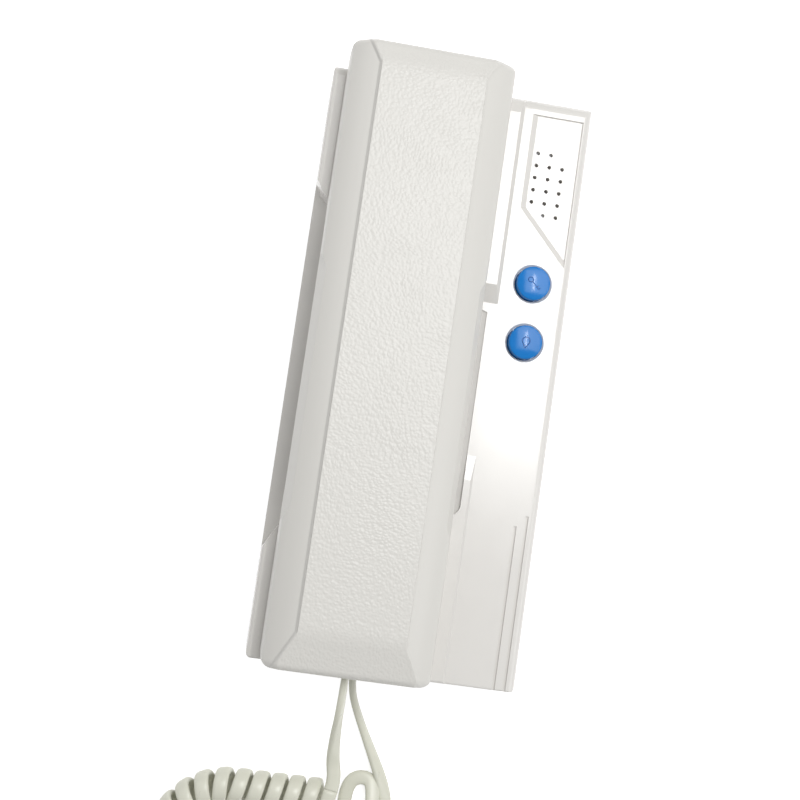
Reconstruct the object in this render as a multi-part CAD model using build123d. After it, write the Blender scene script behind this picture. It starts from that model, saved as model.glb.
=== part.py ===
from build123d import *
import math
import os

# Building intercom: a wall base with two press buttons and a corded handset lying in its cradle.
# Millimetres. The origin is the middle of the base's rear face. +X is to the right as the face is
# looked at, +Y runs up the unit to the earpiece end, +Z comes out of the face.

# Base shells
BASE_WIDTH = 97.0
BASE_LENGTH = 216.0
PANEL_Z = 24.0
BASE_WALL = 2.2
PLAN_CORNER = 2.0
TOP_EDGE_ROUND = 4.0
RIGHT_EDGE_ROUND = 3.0
LEFT_EDGE_ROUND = 1.4
BOTTOM_EDGE_ROUND = 0.8
SEAM_Z = 5.0
LIP_HEIGHT = 2.2
LIP_WALL = 1.2
LIP_CLEARANCE = 0.15
INNER_CORNER = 0.6

TOP = BASE_LENGTH / 2
RIGHT = BASE_WIDTH / 2
PANEL_UNDER_Z = PANEL_Z - BASE_WALL

# Handset: it takes the width between the base's left margin and the column of buttons and grille
LEFT_MARGIN = 4.8
PANEL_COLUMN = 32.2
HANDSET_TOP_OVERHANG = 6.0
HANDSET_LOW_OVERHANG = 1.0
HANDSET_SHOULDER_IN = 0.5
HANDSET_SHOULDER_RUN = 10.5
HANDSET_SHOULDER_CROWN = 0.8
HANDSET_SHOULDER_ROUND = 3.5
HANDSET_SEAT_GAP = 0.4
HANDSET_WAIST_RISE = 9.1
HANDSET_SIDE_RISE = 4.5
HANDSET_SHOULDER_RISE = 6.6
PANEL_RAISE = 0.4
PANEL_RAISE_RUN = 0.25
HANDSET_WALL = 2.2
HANDSET_END_ROUND = 3.0
HANDSET_TOP_CORNER = 4.4
HANDSET_LOW_CORNER = 4.7
HANDSET_BACK_BEVEL = 2.0
GRIP_BACK_RISE = 6.6
GRIP_TOP_INSET = 66.0
GRIP_LOW_INSET = 65.0
GRIP_SLOPE_RUN = 9.0
GRIP_SIDE_IN = 2.2
GRIP_SIDE_TOP_INSET = 80.0
GRIP_SIDE_LOW_INSET = 53.0
GRIP_SIDE_RUN = 7.0
PANEL_TOP_RUN = 9.0
PANEL_TOP_DROP = 2.0
PANEL_LOW_RUN = 14.0
PANEL_LOW_DROP = 3.2
PANEL_BEND_ROUND = 22.0

HANDSET_MID_WIDTH = BASE_WIDTH - LEFT_MARGIN - PANEL_COLUMN
HANDSET_SHOULDER_WIDTH = HANDSET_MID_WIDTH - 2 * HANDSET_SHOULDER_IN
HANDSET_PANEL_WIDTH = HANDSET_SHOULDER_WIDTH - 2 * HANDSET_SHOULDER_RUN
HANDSET_X = LEFT_MARGIN + HANDSET_MID_WIDTH / 2 - RIGHT
HANDSET_RIGHT_X = HANDSET_X + HANDSET_MID_WIDTH / 2
HANDSET_TOP_Y = TOP + HANDSET_TOP_OVERHANG
HANDSET_LOW_Y = -TOP - HANDSET_LOW_OVERHANG
END_BACK_Z = PANEL_Z + HANDSET_SEAT_GAP
GRIP_BACK_Z = END_BACK_Z + GRIP_BACK_RISE
HANDSET_PART_Z = GRIP_BACK_Z + HANDSET_WALL
HANDSET_WAIST_Z = END_BACK_Z + HANDSET_WAIST_RISE
HANDSET_SHOULDER_Z = HANDSET_WAIST_Z + HANDSET_SIDE_RISE
HANDSET_PANEL_FOOT_Z = HANDSET_SHOULDER_Z + HANDSET_SHOULDER_RISE
HANDSET_PANEL_Z = HANDSET_PANEL_FOOT_Z + PANEL_RAISE
GRIP_TOP_Y = HANDSET_TOP_Y - GRIP_TOP_INSET
GRIP_LOW_Y = HANDSET_LOW_Y + GRIP_LOW_INSET
GRIP_SIDE_Y = (HANDSET_LOW_Y + GRIP_SIDE_LOW_INSET, HANDSET_TOP_Y - GRIP_SIDE_TOP_INSET)

# Cups on the handset's back
CUP_SIDE_INSET = 6.5
CUP_DEPTH = 8.6
CUP_CORNER = 6.0
CUP_WALL = 2.0
EAR_CUP_INSET = 11.0
EAR_CUP_LENGTH = 42.0
MOUTH_CUP_INSET = 8.0
MOUTH_CUP_LENGTH = 41.0
CUP_HOLE_R = 0.9
EAR_RING_R = (5.0, 10.0)
EAR_RING_COUNT = (6, 12)
MOUTH_RING_R = (3.6,)
MOUTH_RING_COUNT = (6,)

CUP_WIDTH = HANDSET_MID_WIDTH - 2 * CUP_SIDE_INSET
CUP_BOTTOM_Z = END_BACK_Z - CUP_DEPTH
EAR_CUP_HIGH_Y = HANDSET_TOP_Y - EAR_CUP_INSET
MOUTH_CUP_LOW_Y = HANDSET_LOW_Y + MOUTH_CUP_INSET
EAR_CUP_Y = (EAR_CUP_HIGH_Y - EAR_CUP_LENGTH, EAR_CUP_HIGH_Y)
MOUTH_CUP_Y = (MOUTH_CUP_LOW_Y, MOUTH_CUP_LOW_Y + MOUTH_CUP_LENGTH)

# Inside the handset
EARPIECE_GAP = 1.5
EARPIECE_RIM_H = 3.0
EARPIECE_MAGNET_STEP = 7.5
EARPIECE_MAGNET_H = 5.0
EARPIECE_RIM_WIDTH = 2.5
EARPIECE_DIAPHRAGM_T = 0.4
EARPIECE_DISH = 1.2
GASKET_T = 1.0
GASKET_RING_WIDTH = 2.5
MIC_R = 4.85
MIC_H = 6.5
BOOT_WALL = 1.55
BOOT_H = 8.0
BOOT_LEDGE = 1.5
BALLAST_WIDTH = 28.0
BALLAST_HEIGHT = 5.0
BALLAST_END_GAP = 8.8
HANDSET_SCREW_INSET = 8.0
HANDSET_BOSS_R = 3.2
HANDSET_SCREW_R = 1.3
HANDSET_SCREW_HEAD_R = 2.8
HANDSET_SCREW_HEAD_H = 1.5
HANDSET_SCREW_LENGTH = 9.0
HANDSET_SCREW_TIP_GAP = 0.5
SCREW_SINK_CLEARANCE = 0.3

EARPIECE_R = min(CUP_WIDTH, EAR_CUP_LENGTH) / 2 - CUP_WALL - EARPIECE_GAP
EARPIECE_DIAPHRAGM_R = EARPIECE_R - EARPIECE_RIM_WIDTH
HANDSET_SCREW_Y = (GRIP_TOP_Y - HANDSET_SCREW_INSET, GRIP_LOW_Y + HANDSET_SCREW_INSET)

# Cradle recesses for the two cups of the handset
RECESS_CLEARANCE_X = 2.5
RECESS_FLOOR_GAP = 4.8
RECESS_WALL = 1.8
RECESS_CORNER = 7.0
RECESS_TOP_GAP = 1.0
RECESS_INNER_GAP = 3.0
RECESS_BOTTOM_GAP = 2.0

RECESS_FLOOR_Z = CUP_BOTTOM_Z - RECESS_FLOOR_GAP

# Raised strip beside the earpiece end, and the low band beside the mouthpiece end
STRIP_GAP = 0.9
STRIP_HEIGHT = 3.0
STRIP_TOP_WIDTH = 4.1
STRIP_FOOT_WIDTH = 5.9
STRIP_LENGTH = 78.0
STRIP_END_RUN = 6.5
STRIP_ROOT = 1.0
BAND_HEIGHT = 0.7
BAND_TOP_WIDTH = 4.8
BAND_FOOT_WIDTH = 5.7
BAND_LENGTH = 82.0
BAND_START_RUN = 9.0

STRIP_INNER_X = HANDSET_RIGHT_X + STRIP_GAP
STRIP_END_Y = TOP - STRIP_LENGTH
BAND_START_Y = BAND_LENGTH - TOP

# Finger scoop under the grip, sloping down to the left edge
SCOOP_RIGHT_GAP = 3.3
SCOOP_RIGHT_STEP = 0.4
SCOOP_DEPTH = 11.0
SCOOP_TOP_GAP = 3.5
SCOOP_LOW_INSET = 59.8
SCOOP_CORNER = 4.0
SCOOP_KNEE_RUN = 17.6
SCOOP_KNEE_RISE = 5.0
SCOOP_EDGE_TOP_INSET = 43.0
SCOOP_EDGE_LOW_INSET = 39.0
SCOOP_EDGE_RUN = 4.5
SCOOP_EDGE_IN = 2.4

SCOOP_RIGHT_X = HANDSET_RIGHT_X + SCOOP_RIGHT_GAP
SCOOP_LEFT_Z = PANEL_Z - SCOOP_DEPTH
SCOOP_TOP_Y = STRIP_END_Y - SCOOP_TOP_GAP
SCOOP_LOW_Y = SCOOP_LOW_INSET - TOP

# Grille field over the call loudspeaker
FIELD_RIGHT_INSET = 3.2
FIELD_WIDTH = 16.8
FIELD_TOP_INSET = 6.0
FIELD_LEFT_LENGTH = 34.5
FIELD_SLOPE_DROP = 17.6
FIELD_DEPTH = 1.0
FIELD_SLOPE_RUN = 2.1
FIELD_EDGE_RUN = 0.2
FIELD_BACK_MARGIN = 1.5
GRILLE_HOLE_R = 0.75
GRILLE_PITCH_X = 4.85
GRILLE_PITCH_Y = 4.58
GRILLE_INSET_X = 1.8
GRILLE_INSET_Y = 13.9
# columns of holes in each row, from the top
GRILLE_ROWS = ((0, 1), (0, 1, 2), (0, 1, 2), (0, 1, 2), (0, 1, 2), (1, 2))

FIELD_RIGHT_X = RIGHT - FIELD_RIGHT_INSET
FIELD_LEFT_X = FIELD_RIGHT_X - FIELD_WIDTH
FIELD_TOP_Y = TOP - FIELD_TOP_INSET
FIELD_CORNER_Y = FIELD_TOP_Y - FIELD_LEFT_LENGTH
FIELD_LOW_Y = FIELD_CORNER_Y - FIELD_SLOPE_DROP

# Two grooves down the lower right of the panel, from its right edge and its lower end
GROOVE_WIDTH = 1.1
GROOVE_DEPTH = 0.7
GROOVE_INSET = (8.0, 4.1)
GROOVE_LENGTH = (59.0, 63.1)

# Press buttons
BUTTON_INSET = 13.8
UNLOCK_INSET = 68.7
BUTTON_SPACING = 21.8
BUTTON_R = 6.15
BUTTON_GAP = 0.3
BUTTON_PROUD = 2.6
BUTTON_DOME = 0.6
BUTTON_RIM_ROUND = 0.5
BUTTON_TRAVEL = 2.0
BUTTON_WALL = 1.0
BUTTON_FLANGE_R = 7.8
BUTTON_FLANGE_T = 1.4
BUTTON_SKIRT = 7.0
BUTTON_STEM_R = 2.0
WELL_CHAMFER = 0.75
FLANGE_GAP = 0.15
SWITCH_SIDE = 6.0
SWITCH_HEIGHT = 3.8
SWITCH_PLUNGER_R = 1.7
SWITCH_PLUNGER_H = 0.8
SWITCH_GAP = 0.2
SPRING_WIRE_R = 0.3
SPRING_MEAN_R = 4.85
SPRING_END_GAP = 0.05
SPRING_TURNS = 5

BUTTON_X = RIGHT - BUTTON_INSET
UNLOCK_Y = TOP - UNLOCK_INSET
CALL_Y = UNLOCK_Y - BUTTON_SPACING

# Circuit board, lying between the two recesses, and what is on it
BOARD_Z = 5.0
BOARD_T = 1.6
BOARD_RIGHT_INSET = 4.5
BOARD_WIDTH = 46.0
BOARD_END_GAP = 1.2
BOARD_SCREW_INSET = 3.0
BOARD_HOLE_R = 1.5
POST_R = 3.0
PILOT_R = 1.2
BOARD_SCREW_HEAD_R = 2.6
BOARD_SCREW_HEAD_H = 1.6
BOARD_SCREW_LENGTH = 4.6
TERMINAL_COUNT = 5
TERMINAL_PITCH = 5.08
TERMINAL_DEPTH = 8.0
TERMINAL_HEIGHT = 10.0
TERMINAL_GAP_X = 1.9
TERMINAL_INSET_Y = 15.0
TERMINAL_SCREW_R = 1.6
TERMINAL_SHAFT_GAP = 0.2
TERMINAL_SHAFT_Z = 3.0
TERMINAL_ENTRY_WIDTH = 2.8
TERMINAL_ENTRY_Z = 1.5
TERMINAL_ENTRY_HEIGHT = 2.8
TERMINAL_SCREW_SINK = 1.0
TERMINAL_SLOT_WIDTH = 0.6
TERMINAL_SLOT_DEPTH = 0.8
CAPACITOR_R = 4.0
CAPACITOR_H = 10.0
CAPACITOR_ROUND = 0.5
CAPACITOR_INSET_X = 12.0
CAPACITOR_INSET_Y = (35.0, 25.0)
CHIP_SIZE = (10.0, 7.0, 3.4)
CHIP_INSET_X = 16.0
CHIP_Y = 2.0
CHIP_DIMPLE_R = 0.6
CHIP_DIMPLE_DEPTH = 0.3
CHIP_DIMPLE_INSET = 1.2
CONNECTOR_SIZE = (10.0, 6.0, 7.0)
CONNECTOR_WALL = 1.0
CONNECTOR_INSET_X = 6.4
CONNECTOR_INSET_Y = 14.0

BOARD_TOP = BOARD_Z + BOARD_T
BOARD_RIGHT_X = RIGHT - BOARD_RIGHT_INSET
BOARD_LEFT_X = BOARD_RIGHT_X - BOARD_WIDTH
BOARD_HIGH_Y = EAR_CUP_Y[0] - RECESS_INNER_GAP - RECESS_WALL - BOARD_END_GAP
BOARD_LOW_Y = MOUTH_CUP_Y[1] + RECESS_INNER_GAP + RECESS_WALL + BOARD_END_GAP
TERMINAL_Y = BOARD_LOW_Y + TERMINAL_INSET_Y
CAPACITOR_X = BOARD_LEFT_X + CAPACITOR_INSET_X
CAPACITOR_Y = tuple(BOARD_LOW_Y + inset for inset in CAPACITOR_INSET_Y)
CHIP_X = BOARD_LEFT_X + CHIP_INSET_X
CONNECTOR_X = BOARD_LEFT_X + CONNECTOR_INSET_X
TERMINAL_X = CONNECTOR_X + CONNECTOR_SIZE[0] / 2 + TERMINAL_GAP_X + TERMINAL_COUNT * TERMINAL_PITCH / 2
CONNECTOR_Y = BOARD_LOW_Y + CONNECTOR_INSET_Y

# Cover screws, down through the floors of the cradle recesses into posts of the wall plate
COVER_SCREW_INSET = 5.5
COVER_SCREW_END_INSET = 4.5
COVER_POST_R = 3.6
COVER_HEAD_R = 2.8
COVER_HEAD_H = 1.6
COVER_SHANK_R = 1.3
COVER_HOLE_CLEARANCE = 0.3
COVER_SCREW_LENGTH = 7.5

# Wall fixing and cable entry in the wall plate, beside the board
WALL_HOLE_SPACING = 60.0
WALL_HOLE_R = 2.25
WALL_FIX_GAP = 12.0
CABLE_ENTRY_WIDTH = 20.0
CABLE_ENTRY_HEIGHT = 14.0

WALL_FIX_X = BOARD_LEFT_X - WALL_FIX_GAP

# Call loudspeaker behind the grille
SPEAKER_INSET_X = 15.3
SPEAKER_INSET_Y = 31.0
SPEAKER_R = 12.5
SPEAKER_RIM_H = 3.0
SPEAKER_MAGNET_R = 7.5
SPEAKER_MAGNET_H = 3.0
SPEAKER_CONE_R = 10.5
SPEAKER_CONE_T = 0.5
SPEAKER_CONE_DEPTH = 1.0
SPEAKER_RING_GAP = 0.2
SPEAKER_RING_WALL = 1.2
CLAMP_SCREW_REACH = 16.5
CLAMP_WIDTH = 6.0
CLAMP_T = 1.2
CLAMP_BOSS_R = 2.8
CLAMP_SCREW_R = 1.1
CLAMP_HOLE_CLEARANCE = 0.2
CLAMP_HEAD_R = 2.2
CLAMP_HEAD_H = 1.4
CLAMP_SCREW_LENGTH = 5.0

SPEAKER_X = RIGHT - SPEAKER_INSET_X
SPEAKER_Y = TOP - SPEAKER_INSET_Y

# Hook lever, reaching into the earpiece recess under the edge of the cup
LEVER_INSET = 3.3
LEVER_PIVOT_GAP = 16.0
LEVER_CUP_GAP = 0.3
LEVER_WIDTH = 4.0
LEVER_T = 3.0
LEVER_FRONT = 22.0
LEVER_TAIL = 9.5
LEVER_SIDE_GAP = 0.4
LEVER_HUB_R = 2.6
LEVER_NOSE = 1.5
LEVER_NOSE_LOW = 1.2
LEVER_NOSE_HIGH = 0.8
HOOK_PIN_R = 1.0
HOOK_PIN_PROUD = 0.4
HOOK_PIN_CLEARANCE = 0.05
BRACKET_T = 1.5
BRACKET_BASE_T = 0.8
BRACKET_LENGTH = 8.0
BRACKET_RISE = 2.8
HOOK_SPRING_ROOM = 3.2
HOOK_SPRING_R = 1.9
HOOK_SPRING_TURNS = 3
HOOK_SPRING_LEG = 5.0
HOOK_SWITCH_SIDE = 5.6
HOOK_SWITCH_TAIL = 2.0
HOOK_SWITCH_GAP = 2.0
HOOK_PLUNGER_R = 1.0
HOOK_PLUNGER_H = 0.7
HOOK_SLOT_RISE = 5.5
HOOK_SLOT_FLOOR = 0.2

LEVER_X = HANDSET_X + CUP_WIDTH / 2 - LEVER_INSET
LEVER_PIVOT_Y = EAR_CUP_Y[0] - LEVER_PIVOT_GAP
LEVER_PIVOT_Z = CUP_BOTTOM_Z - LEVER_CUP_GAP - LEVER_T / 2
HOOK_PLUNGER_Z = LEVER_PIVOT_Z - LEVER_T / 2 - HOOK_SWITCH_GAP - HOOK_PLUNGER_H

# Cord: flat in life, 5.2 wide and 2.6 thick; its solids are round tubes
LEAD_R = 1.8
BASE_EXIT = (-8.5, 6.2)
HANDSET_EXIT_X = -13.0
HANDSET_EXIT_RISE = 5.2
GROMMET_WIDTH = 8.0
GROMMET_HEIGHT = 4.8
GROMMET_FLANGE = 1.0
GROMMET_FLANGE_T = 1.5
GROMMET_GAP = 0.1
CURL_WIRE_R = 1.8
CURL_MEAN_R = 5.2
CURL_FLOOR_GAP = 0.1
CURL_COUNT = 28
CURL_START = (-11.5, -155.5)
CURL_FIRST_RUN = 33.5
CURL_BEND_R = 24.0
CURL_SECOND_RUN = 72.0
CURL_END_STRAIGHT = 3.6
CURL_JOIN_RUN = 9.0

HANDSET_EXIT = (HANDSET_EXIT_X, END_BACK_Z + HANDSET_EXIT_RISE)
CURL_AXIS_Z = CURL_MEAN_R + CURL_WIRE_R + CURL_FLOOR_GAP

# Points that the cord from the handset follows between its exit and its last straight run into the curls
HANDSET_LEAD_POINTS = (
    (-13.0, -118.5, 29.6),
    (-12.2, -131.0, 18.0),
)

# Points that the cord from the base follows: out to the right, one small loop, over itself, to the curls
BASE_LEAD_POINTS = (
    (-8.5, -116.0, 6.2),
    (-3.0, -127.0, 3.2),
    (3.8, -138.0, 1.9),
    (10.0, -148.5, 1.9),
    (11.2, -158.5, 1.9),
    (6.8, -167.5, 1.9),
    (-1.8, -168.6, 1.9),
    (-5.0, -158.4, 1.9),
    (-3.4, -148.2, 2.1),
    (4.4, -147.4, 2.8),
    (5.6, -156.2, 5.2),
    (4.8, -163.4, 9.2),
    (6.0, -173.4, 9.2),
    (17.0, -182.0, 10.8),
)


def box(x0, x1, y0, y1, z0, z1):
    """Box between two corners."""
    size = Box(x1 - x0, y1 - y0, z1 - z0)
    return Pos((x0 + x1) / 2, (y0 + y1) / 2, (z0 + z1) / 2) * size


def rod(x, y, z0, z1, radius):
    """Upright cylinder."""
    return Pos(x, y, (z0 + z1) / 2) * Cylinder(radius, z1 - z0)


def rod_x(x0, x1, y, z, radius):
    """Cylinder along X."""
    return Pos((x0 + x1) / 2, y, z) * Rot(0, 90, 0) * Cylinder(radius, x1 - x0)


def prism_y(points, y0, y1):
    """Outline of x, z points carried along Y."""
    face = make_face(Polyline(*[(x, 0, z) for x, z in points], close=True))
    return Pos(0, y0, 0) * extrude(face, amount=y1 - y0, dir=(0, 1, 0))


def prism_x(points, x0, x1):
    """Outline of y, z points carried along X."""
    face = make_face(Polyline(*[(0, y, z) for y, z in points], close=True))
    return Pos(x0, 0, 0) * extrude(face, amount=x1 - x0, dir=(1, 0, 0))


def rounded_slab(x0, x1, y0, y1, z0, z1, radius):
    """Box with its four upright edges rounded."""
    plan = RectangleRounded(x1 - x0, y1 - y0, radius)
    return Pos((x0 + x1) / 2, (y0 + y1) / 2, z0) * extrude(plan, amount=z1 - z0)


def edge_rounded_profile(half, z0, z1, low_round, high_round, carry):
    """Cross-section with a flat foot and two rounded upper corners, carried square to itself."""
    low = max(low_round, 0.2)
    high = max(high_round, 0.2)
    outline = Polyline((-half, z1 - low), (-half, z0), (half, z0), (half, z1 - high))
    high_arc = RadiusArc((half, z1 - high), (half - high, z1), -high)
    crest = Line((half - high, z1), (-half + low, z1))
    low_arc = RadiusArc((-half + low, z1), (-half, z1 - low), -low)
    face = make_face([outline, high_arc, crest, low_arc])
    return extrude(face, amount=carry, both=True)


def base_block(inset, z0, z1):
    """Base's outer form, or the space inside its walls when inset by them."""
    half_w = RIGHT - inset
    half_l = TOP - inset
    across = edge_rounded_profile(half_w, z0, z1, LEFT_EDGE_ROUND - inset, RIGHT_EDGE_ROUND - inset, TOP)
    along = edge_rounded_profile(half_l, z0, z1, BOTTOM_EDGE_ROUND - inset, TOP_EDGE_ROUND - inset, TOP)
    across = Rot(90, 0, 0) * across
    along = Rot(0, 0, 90) * Rot(90, 0, 0) * along
    corner = max(PLAN_CORNER - inset, 0.4)
    plan = rounded_slab(-half_w, half_w, -half_l, half_l, z0, z1, corner)
    return across & along & plan


def scoop_floor_z(x):
    """Height of the scoop's sloping floor."""
    high = PANEL_Z - SCOOP_RIGHT_STEP
    share = (x + RIGHT) / (SCOOP_RIGHT_X + RIGHT)
    return SCOOP_LEFT_Z + share * (high - SCOOP_LEFT_Z)


def scoop_outline():
    """Corners of the scoop seen from the front: short on the right, long on the left edge."""
    slant = SCOOP_EDGE_RUN / SCOOP_EDGE_IN
    edge = -RIGHT - 1
    inner = -RIGHT + SCOOP_EDGE_IN
    upper_wall = EAR_CUP_Y[0] - RECESS_INNER_GAP - 2 * RECESS_WALL
    lower_wall = MOUTH_CUP_Y[1] + RECESS_INNER_GAP + 2 * RECESS_WALL
    cradle_x = HANDSET_X - CUP_WIDTH / 2 - RECESS_CLEARANCE_X
    knee_x = SCOOP_RIGHT_X - SCOOP_KNEE_RUN
    edge_top = TOP - SCOOP_EDGE_TOP_INSET
    edge_low = SCOOP_EDGE_LOW_INSET - TOP
    return (
        (SCOOP_RIGHT_X, SCOOP_LOW_Y),
        (SCOOP_RIGHT_X, SCOOP_TOP_Y),
        (knee_x, SCOOP_TOP_Y + SCOOP_KNEE_RISE),
        (cradle_x, upper_wall),
        (inner, edge_top - SCOOP_EDGE_RUN),
        (edge, edge_top + slant),
        (edge, edge_low - slant),
        (inner, edge_low + SCOOP_EDGE_RUN),
        (cradle_x, lower_wall),
        (knee_x, SCOOP_LOW_Y - 1),
    )


def scoop_plan(grow, height):
    """Scoop's outline carried up to a height, its lower right corner rounded."""
    face = make_face(Polyline(*scoop_outline(), close=True))
    corner = face.vertices().sort_by(Axis.X)[-2:].sort_by(Axis.Y)[0]
    face = fillet(corner, SCOOP_CORNER)
    if grow:
        face = offset(face, amount=grow, kind=Kind.INTERSECTION)
    return extrude(face, amount=height)


def scoop_space(grow, sink):
    """Space above the scoop's floor; with a sink it also holds the floor's thickness."""
    left = -RIGHT - 2
    right = SCOOP_RIGHT_X + 4
    section = (
        (left, scoop_floor_z(left) - sink),
        (right, scoop_floor_z(right) - sink),
        (right, PANEL_Z + 6),
        (left, PANEL_Z + 6),
    )
    return prism_y(section, -TOP, TOP) & scoop_plan(grow, PANEL_Z + 6)


def recess_slab(cup_y, low_gap, high_gap, grow, z0, z1):
    """Recess around one cup of the handset; grown, it holds the recess's walls too."""
    half = CUP_WIDTH / 2 + RECESS_CLEARANCE_X + grow
    y0 = cup_y[0] - low_gap - grow
    y1 = cup_y[1] + high_gap + grow
    return rounded_slab(HANDSET_X - half, HANDSET_X + half, y0, y1, z0, z1, RECESS_CORNER + grow)


def recesses(grow, z0, z1):
    """Both cradle recesses."""
    ear = recess_slab(EAR_CUP_Y, RECESS_INNER_GAP, RECESS_TOP_GAP, grow, z0, z1)
    mouth = recess_slab(MOUTH_CUP_Y, RECESS_BOTTOM_GAP, RECESS_INNER_GAP, grow, z0, z1)
    return ear + mouth


def field_cut():
    """Sunk field around the grille, with sloping borders on the left and below."""
    slope_x = FIELD_RIGHT_X - FIELD_LEFT_X
    slope_y = FIELD_CORNER_Y - FIELD_LOW_Y
    length = math.hypot(slope_x, slope_y)
    over = 1.5
    run = FIELD_SLOPE_RUN * over
    edge = FIELD_EDGE_RUN * over
    # the lower border is moved square to itself by the same run as the left one
    shift = run * length / slope_x
    left = FIELD_LEFT_X - run
    right = FIELD_RIGHT_X + edge
    corner_y = FIELD_CORNER_Y - shift + run * slope_y / slope_x
    low_y = FIELD_LOW_Y - shift - edge * slope_y / slope_x
    floor = Polyline(
        (FIELD_LEFT_X, FIELD_TOP_Y), (FIELD_LEFT_X, FIELD_CORNER_Y),
        (FIELD_RIGHT_X, FIELD_LOW_Y), (FIELD_RIGHT_X, FIELD_TOP_Y), close=True)
    mouth = Polyline(
        (left, FIELD_TOP_Y + edge), (left, corner_y), (right, low_y), (right, FIELD_TOP_Y + edge), close=True)
    z0 = PANEL_Z - FIELD_DEPTH
    sections = [Pos(0, 0, z0) * make_face(floor), Pos(0, 0, z0 + FIELD_DEPTH * over) * make_face(mouth)]
    return loft(sections, ruled=True)


def grille_holes():
    """Small round holes in staggered-end rows."""
    holes = []
    for row, columns in enumerate(GRILLE_ROWS):
        for column in columns:
            x = FIELD_LEFT_X + GRILLE_INSET_X + column * GRILLE_PITCH_X
            y = FIELD_TOP_Y - GRILLE_INSET_Y - row * GRILLE_PITCH_Y
            holes.append(rod(x, y, PANEL_UNDER_Z - BASE_WALL, PANEL_Z + 1, GRILLE_HOLE_R))
    return holes


def button_well(y):
    """Hole for one button, with a countersunk rim."""
    hole_r = BUTTON_R + BUTTON_GAP
    cut = rod(BUTTON_X, y, PANEL_UNDER_Z - 1, PANEL_Z + 1, hole_r)
    cone = Pos(BUTTON_X, y, PANEL_Z - WELL_CHAMFER / 2) * Cone(hole_r, hole_r + WELL_CHAMFER, WELL_CHAMFER)
    return cut + cone


def raised_strip():
    """Wall beside the earpiece end, sloping down to the panel on its right and at its lower end."""
    crest = PANEL_Z + STRIP_HEIGHT
    foot = PANEL_UNDER_Z + STRIP_ROOT
    crest_x = STRIP_INNER_X + STRIP_TOP_WIDTH
    foot_x = STRIP_INNER_X + STRIP_FOOT_WIDTH
    across = ((STRIP_INNER_X, foot), (STRIP_INNER_X, crest), (crest_x, crest),
              (foot_x, PANEL_Z), (foot_x, foot))
    nose = TOP_EDGE_ROUND + STRIP_HEIGHT
    corner = nose * (1 - math.sqrt(0.5))
    along = ((STRIP_END_Y, foot), (STRIP_END_Y, PANEL_Z), (STRIP_END_Y + STRIP_END_RUN, crest),
             (TOP - nose, crest), (TOP - corner, crest - corner), (TOP, crest - nose),
             (TOP, foot - TOP_EDGE_ROUND))
    return prism_y(across, STRIP_END_Y, TOP) & prism_x(along, STRIP_INNER_X, foot_x)


def low_band():
    """Slightly raised band beside the mouthpiece end, fading in from above."""
    crest = PANEL_Z + BAND_HEIGHT
    foot = PANEL_UNDER_Z + STRIP_ROOT
    crest_x = STRIP_INNER_X + BAND_TOP_WIDTH
    foot_x = STRIP_INNER_X + BAND_FOOT_WIDTH
    across = ((STRIP_INNER_X, foot), (STRIP_INNER_X, crest), (crest_x, crest),
              (foot_x, PANEL_Z), (foot_x, foot))
    end = -TOP + BOTTOM_EDGE_ROUND
    along = ((BAND_START_Y, foot), (BAND_START_Y, PANEL_Z), (BAND_START_Y - BAND_START_RUN, crest),
             (end, crest), (-TOP, crest - BOTTOM_EDGE_ROUND), (-TOP, foot))
    return prism_y(across, -TOP, BAND_START_Y) & prism_x(along, STRIP_INNER_X, foot_x)


def speaker_seat():
    """Ring and two screw bosses that hold the call loudspeaker, hanging under the panel."""
    top = PANEL_UNDER_Z + STRIP_ROOT / 2
    low = PANEL_Z - FIELD_DEPTH - BASE_WALL - SPEAKER_RIM_H
    inner = SPEAKER_R + SPEAKER_RING_GAP
    ring = rod(SPEAKER_X, SPEAKER_Y, low, top, inner + SPEAKER_RING_WALL)
    seat = ring
    for side in (-1, 1):
        y = SPEAKER_Y + side * CLAMP_SCREW_REACH
        seat += rod(SPEAKER_X, y, low - SPEAKER_MAGNET_H, top, CLAMP_BOSS_R)
    bore_top = PANEL_Z - FIELD_DEPTH - BASE_WALL
    return seat - rod(SPEAKER_X, SPEAKER_Y, low - 5, bore_top, inner)


def clamp_pilots():
    """Pilot holes in the bosses of the loudspeaker's clamp."""
    low = PANEL_Z - FIELD_DEPTH - BASE_WALL - SPEAKER_RIM_H - SPEAKER_MAGNET_H
    spots = [SPEAKER_Y - CLAMP_SCREW_REACH, SPEAKER_Y + CLAMP_SCREW_REACH]
    return [rod(SPEAKER_X, y, low - 1, low + CLAMP_SCREW_LENGTH, CLAMP_SCREW_R) for y in spots]


def cover_screw_spots():
    """Places of the four cover screws, in the far corners of the two recesses."""
    half = CUP_WIDTH / 2 - COVER_SCREW_INSET
    x0 = HANDSET_X - half
    x1 = HANDSET_X + half
    high = EAR_CUP_Y[1] - COVER_SCREW_END_INSET
    low = MOUTH_CUP_Y[0] + COVER_SCREW_END_INSET
    return ((x0, high), (x1, high), (x0, low), (x1, low))


def grommet_slot(x, y_wall, z, inward):
    """Hole for a cord grommet through a bottom end wall, with room for its flange."""
    body = box(x - GROMMET_WIDTH / 2, x + GROMMET_WIDTH / 2, y_wall - 1, y_wall + inward + 1,
               z - GROMMET_HEIGHT / 2, z + GROMMET_HEIGHT / 2)
    grown = GROMMET_FLANGE + GROMMET_GAP
    flange = box(x - GROMMET_WIDTH / 2 - grown, x + GROMMET_WIDTH / 2 + grown,
                 y_wall + inward, y_wall + inward + GROMMET_FLANGE_T + GROMMET_GAP,
                 z - GROMMET_HEIGHT / 2, z + GROMMET_HEIGHT / 2)
    return body + flange


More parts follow.
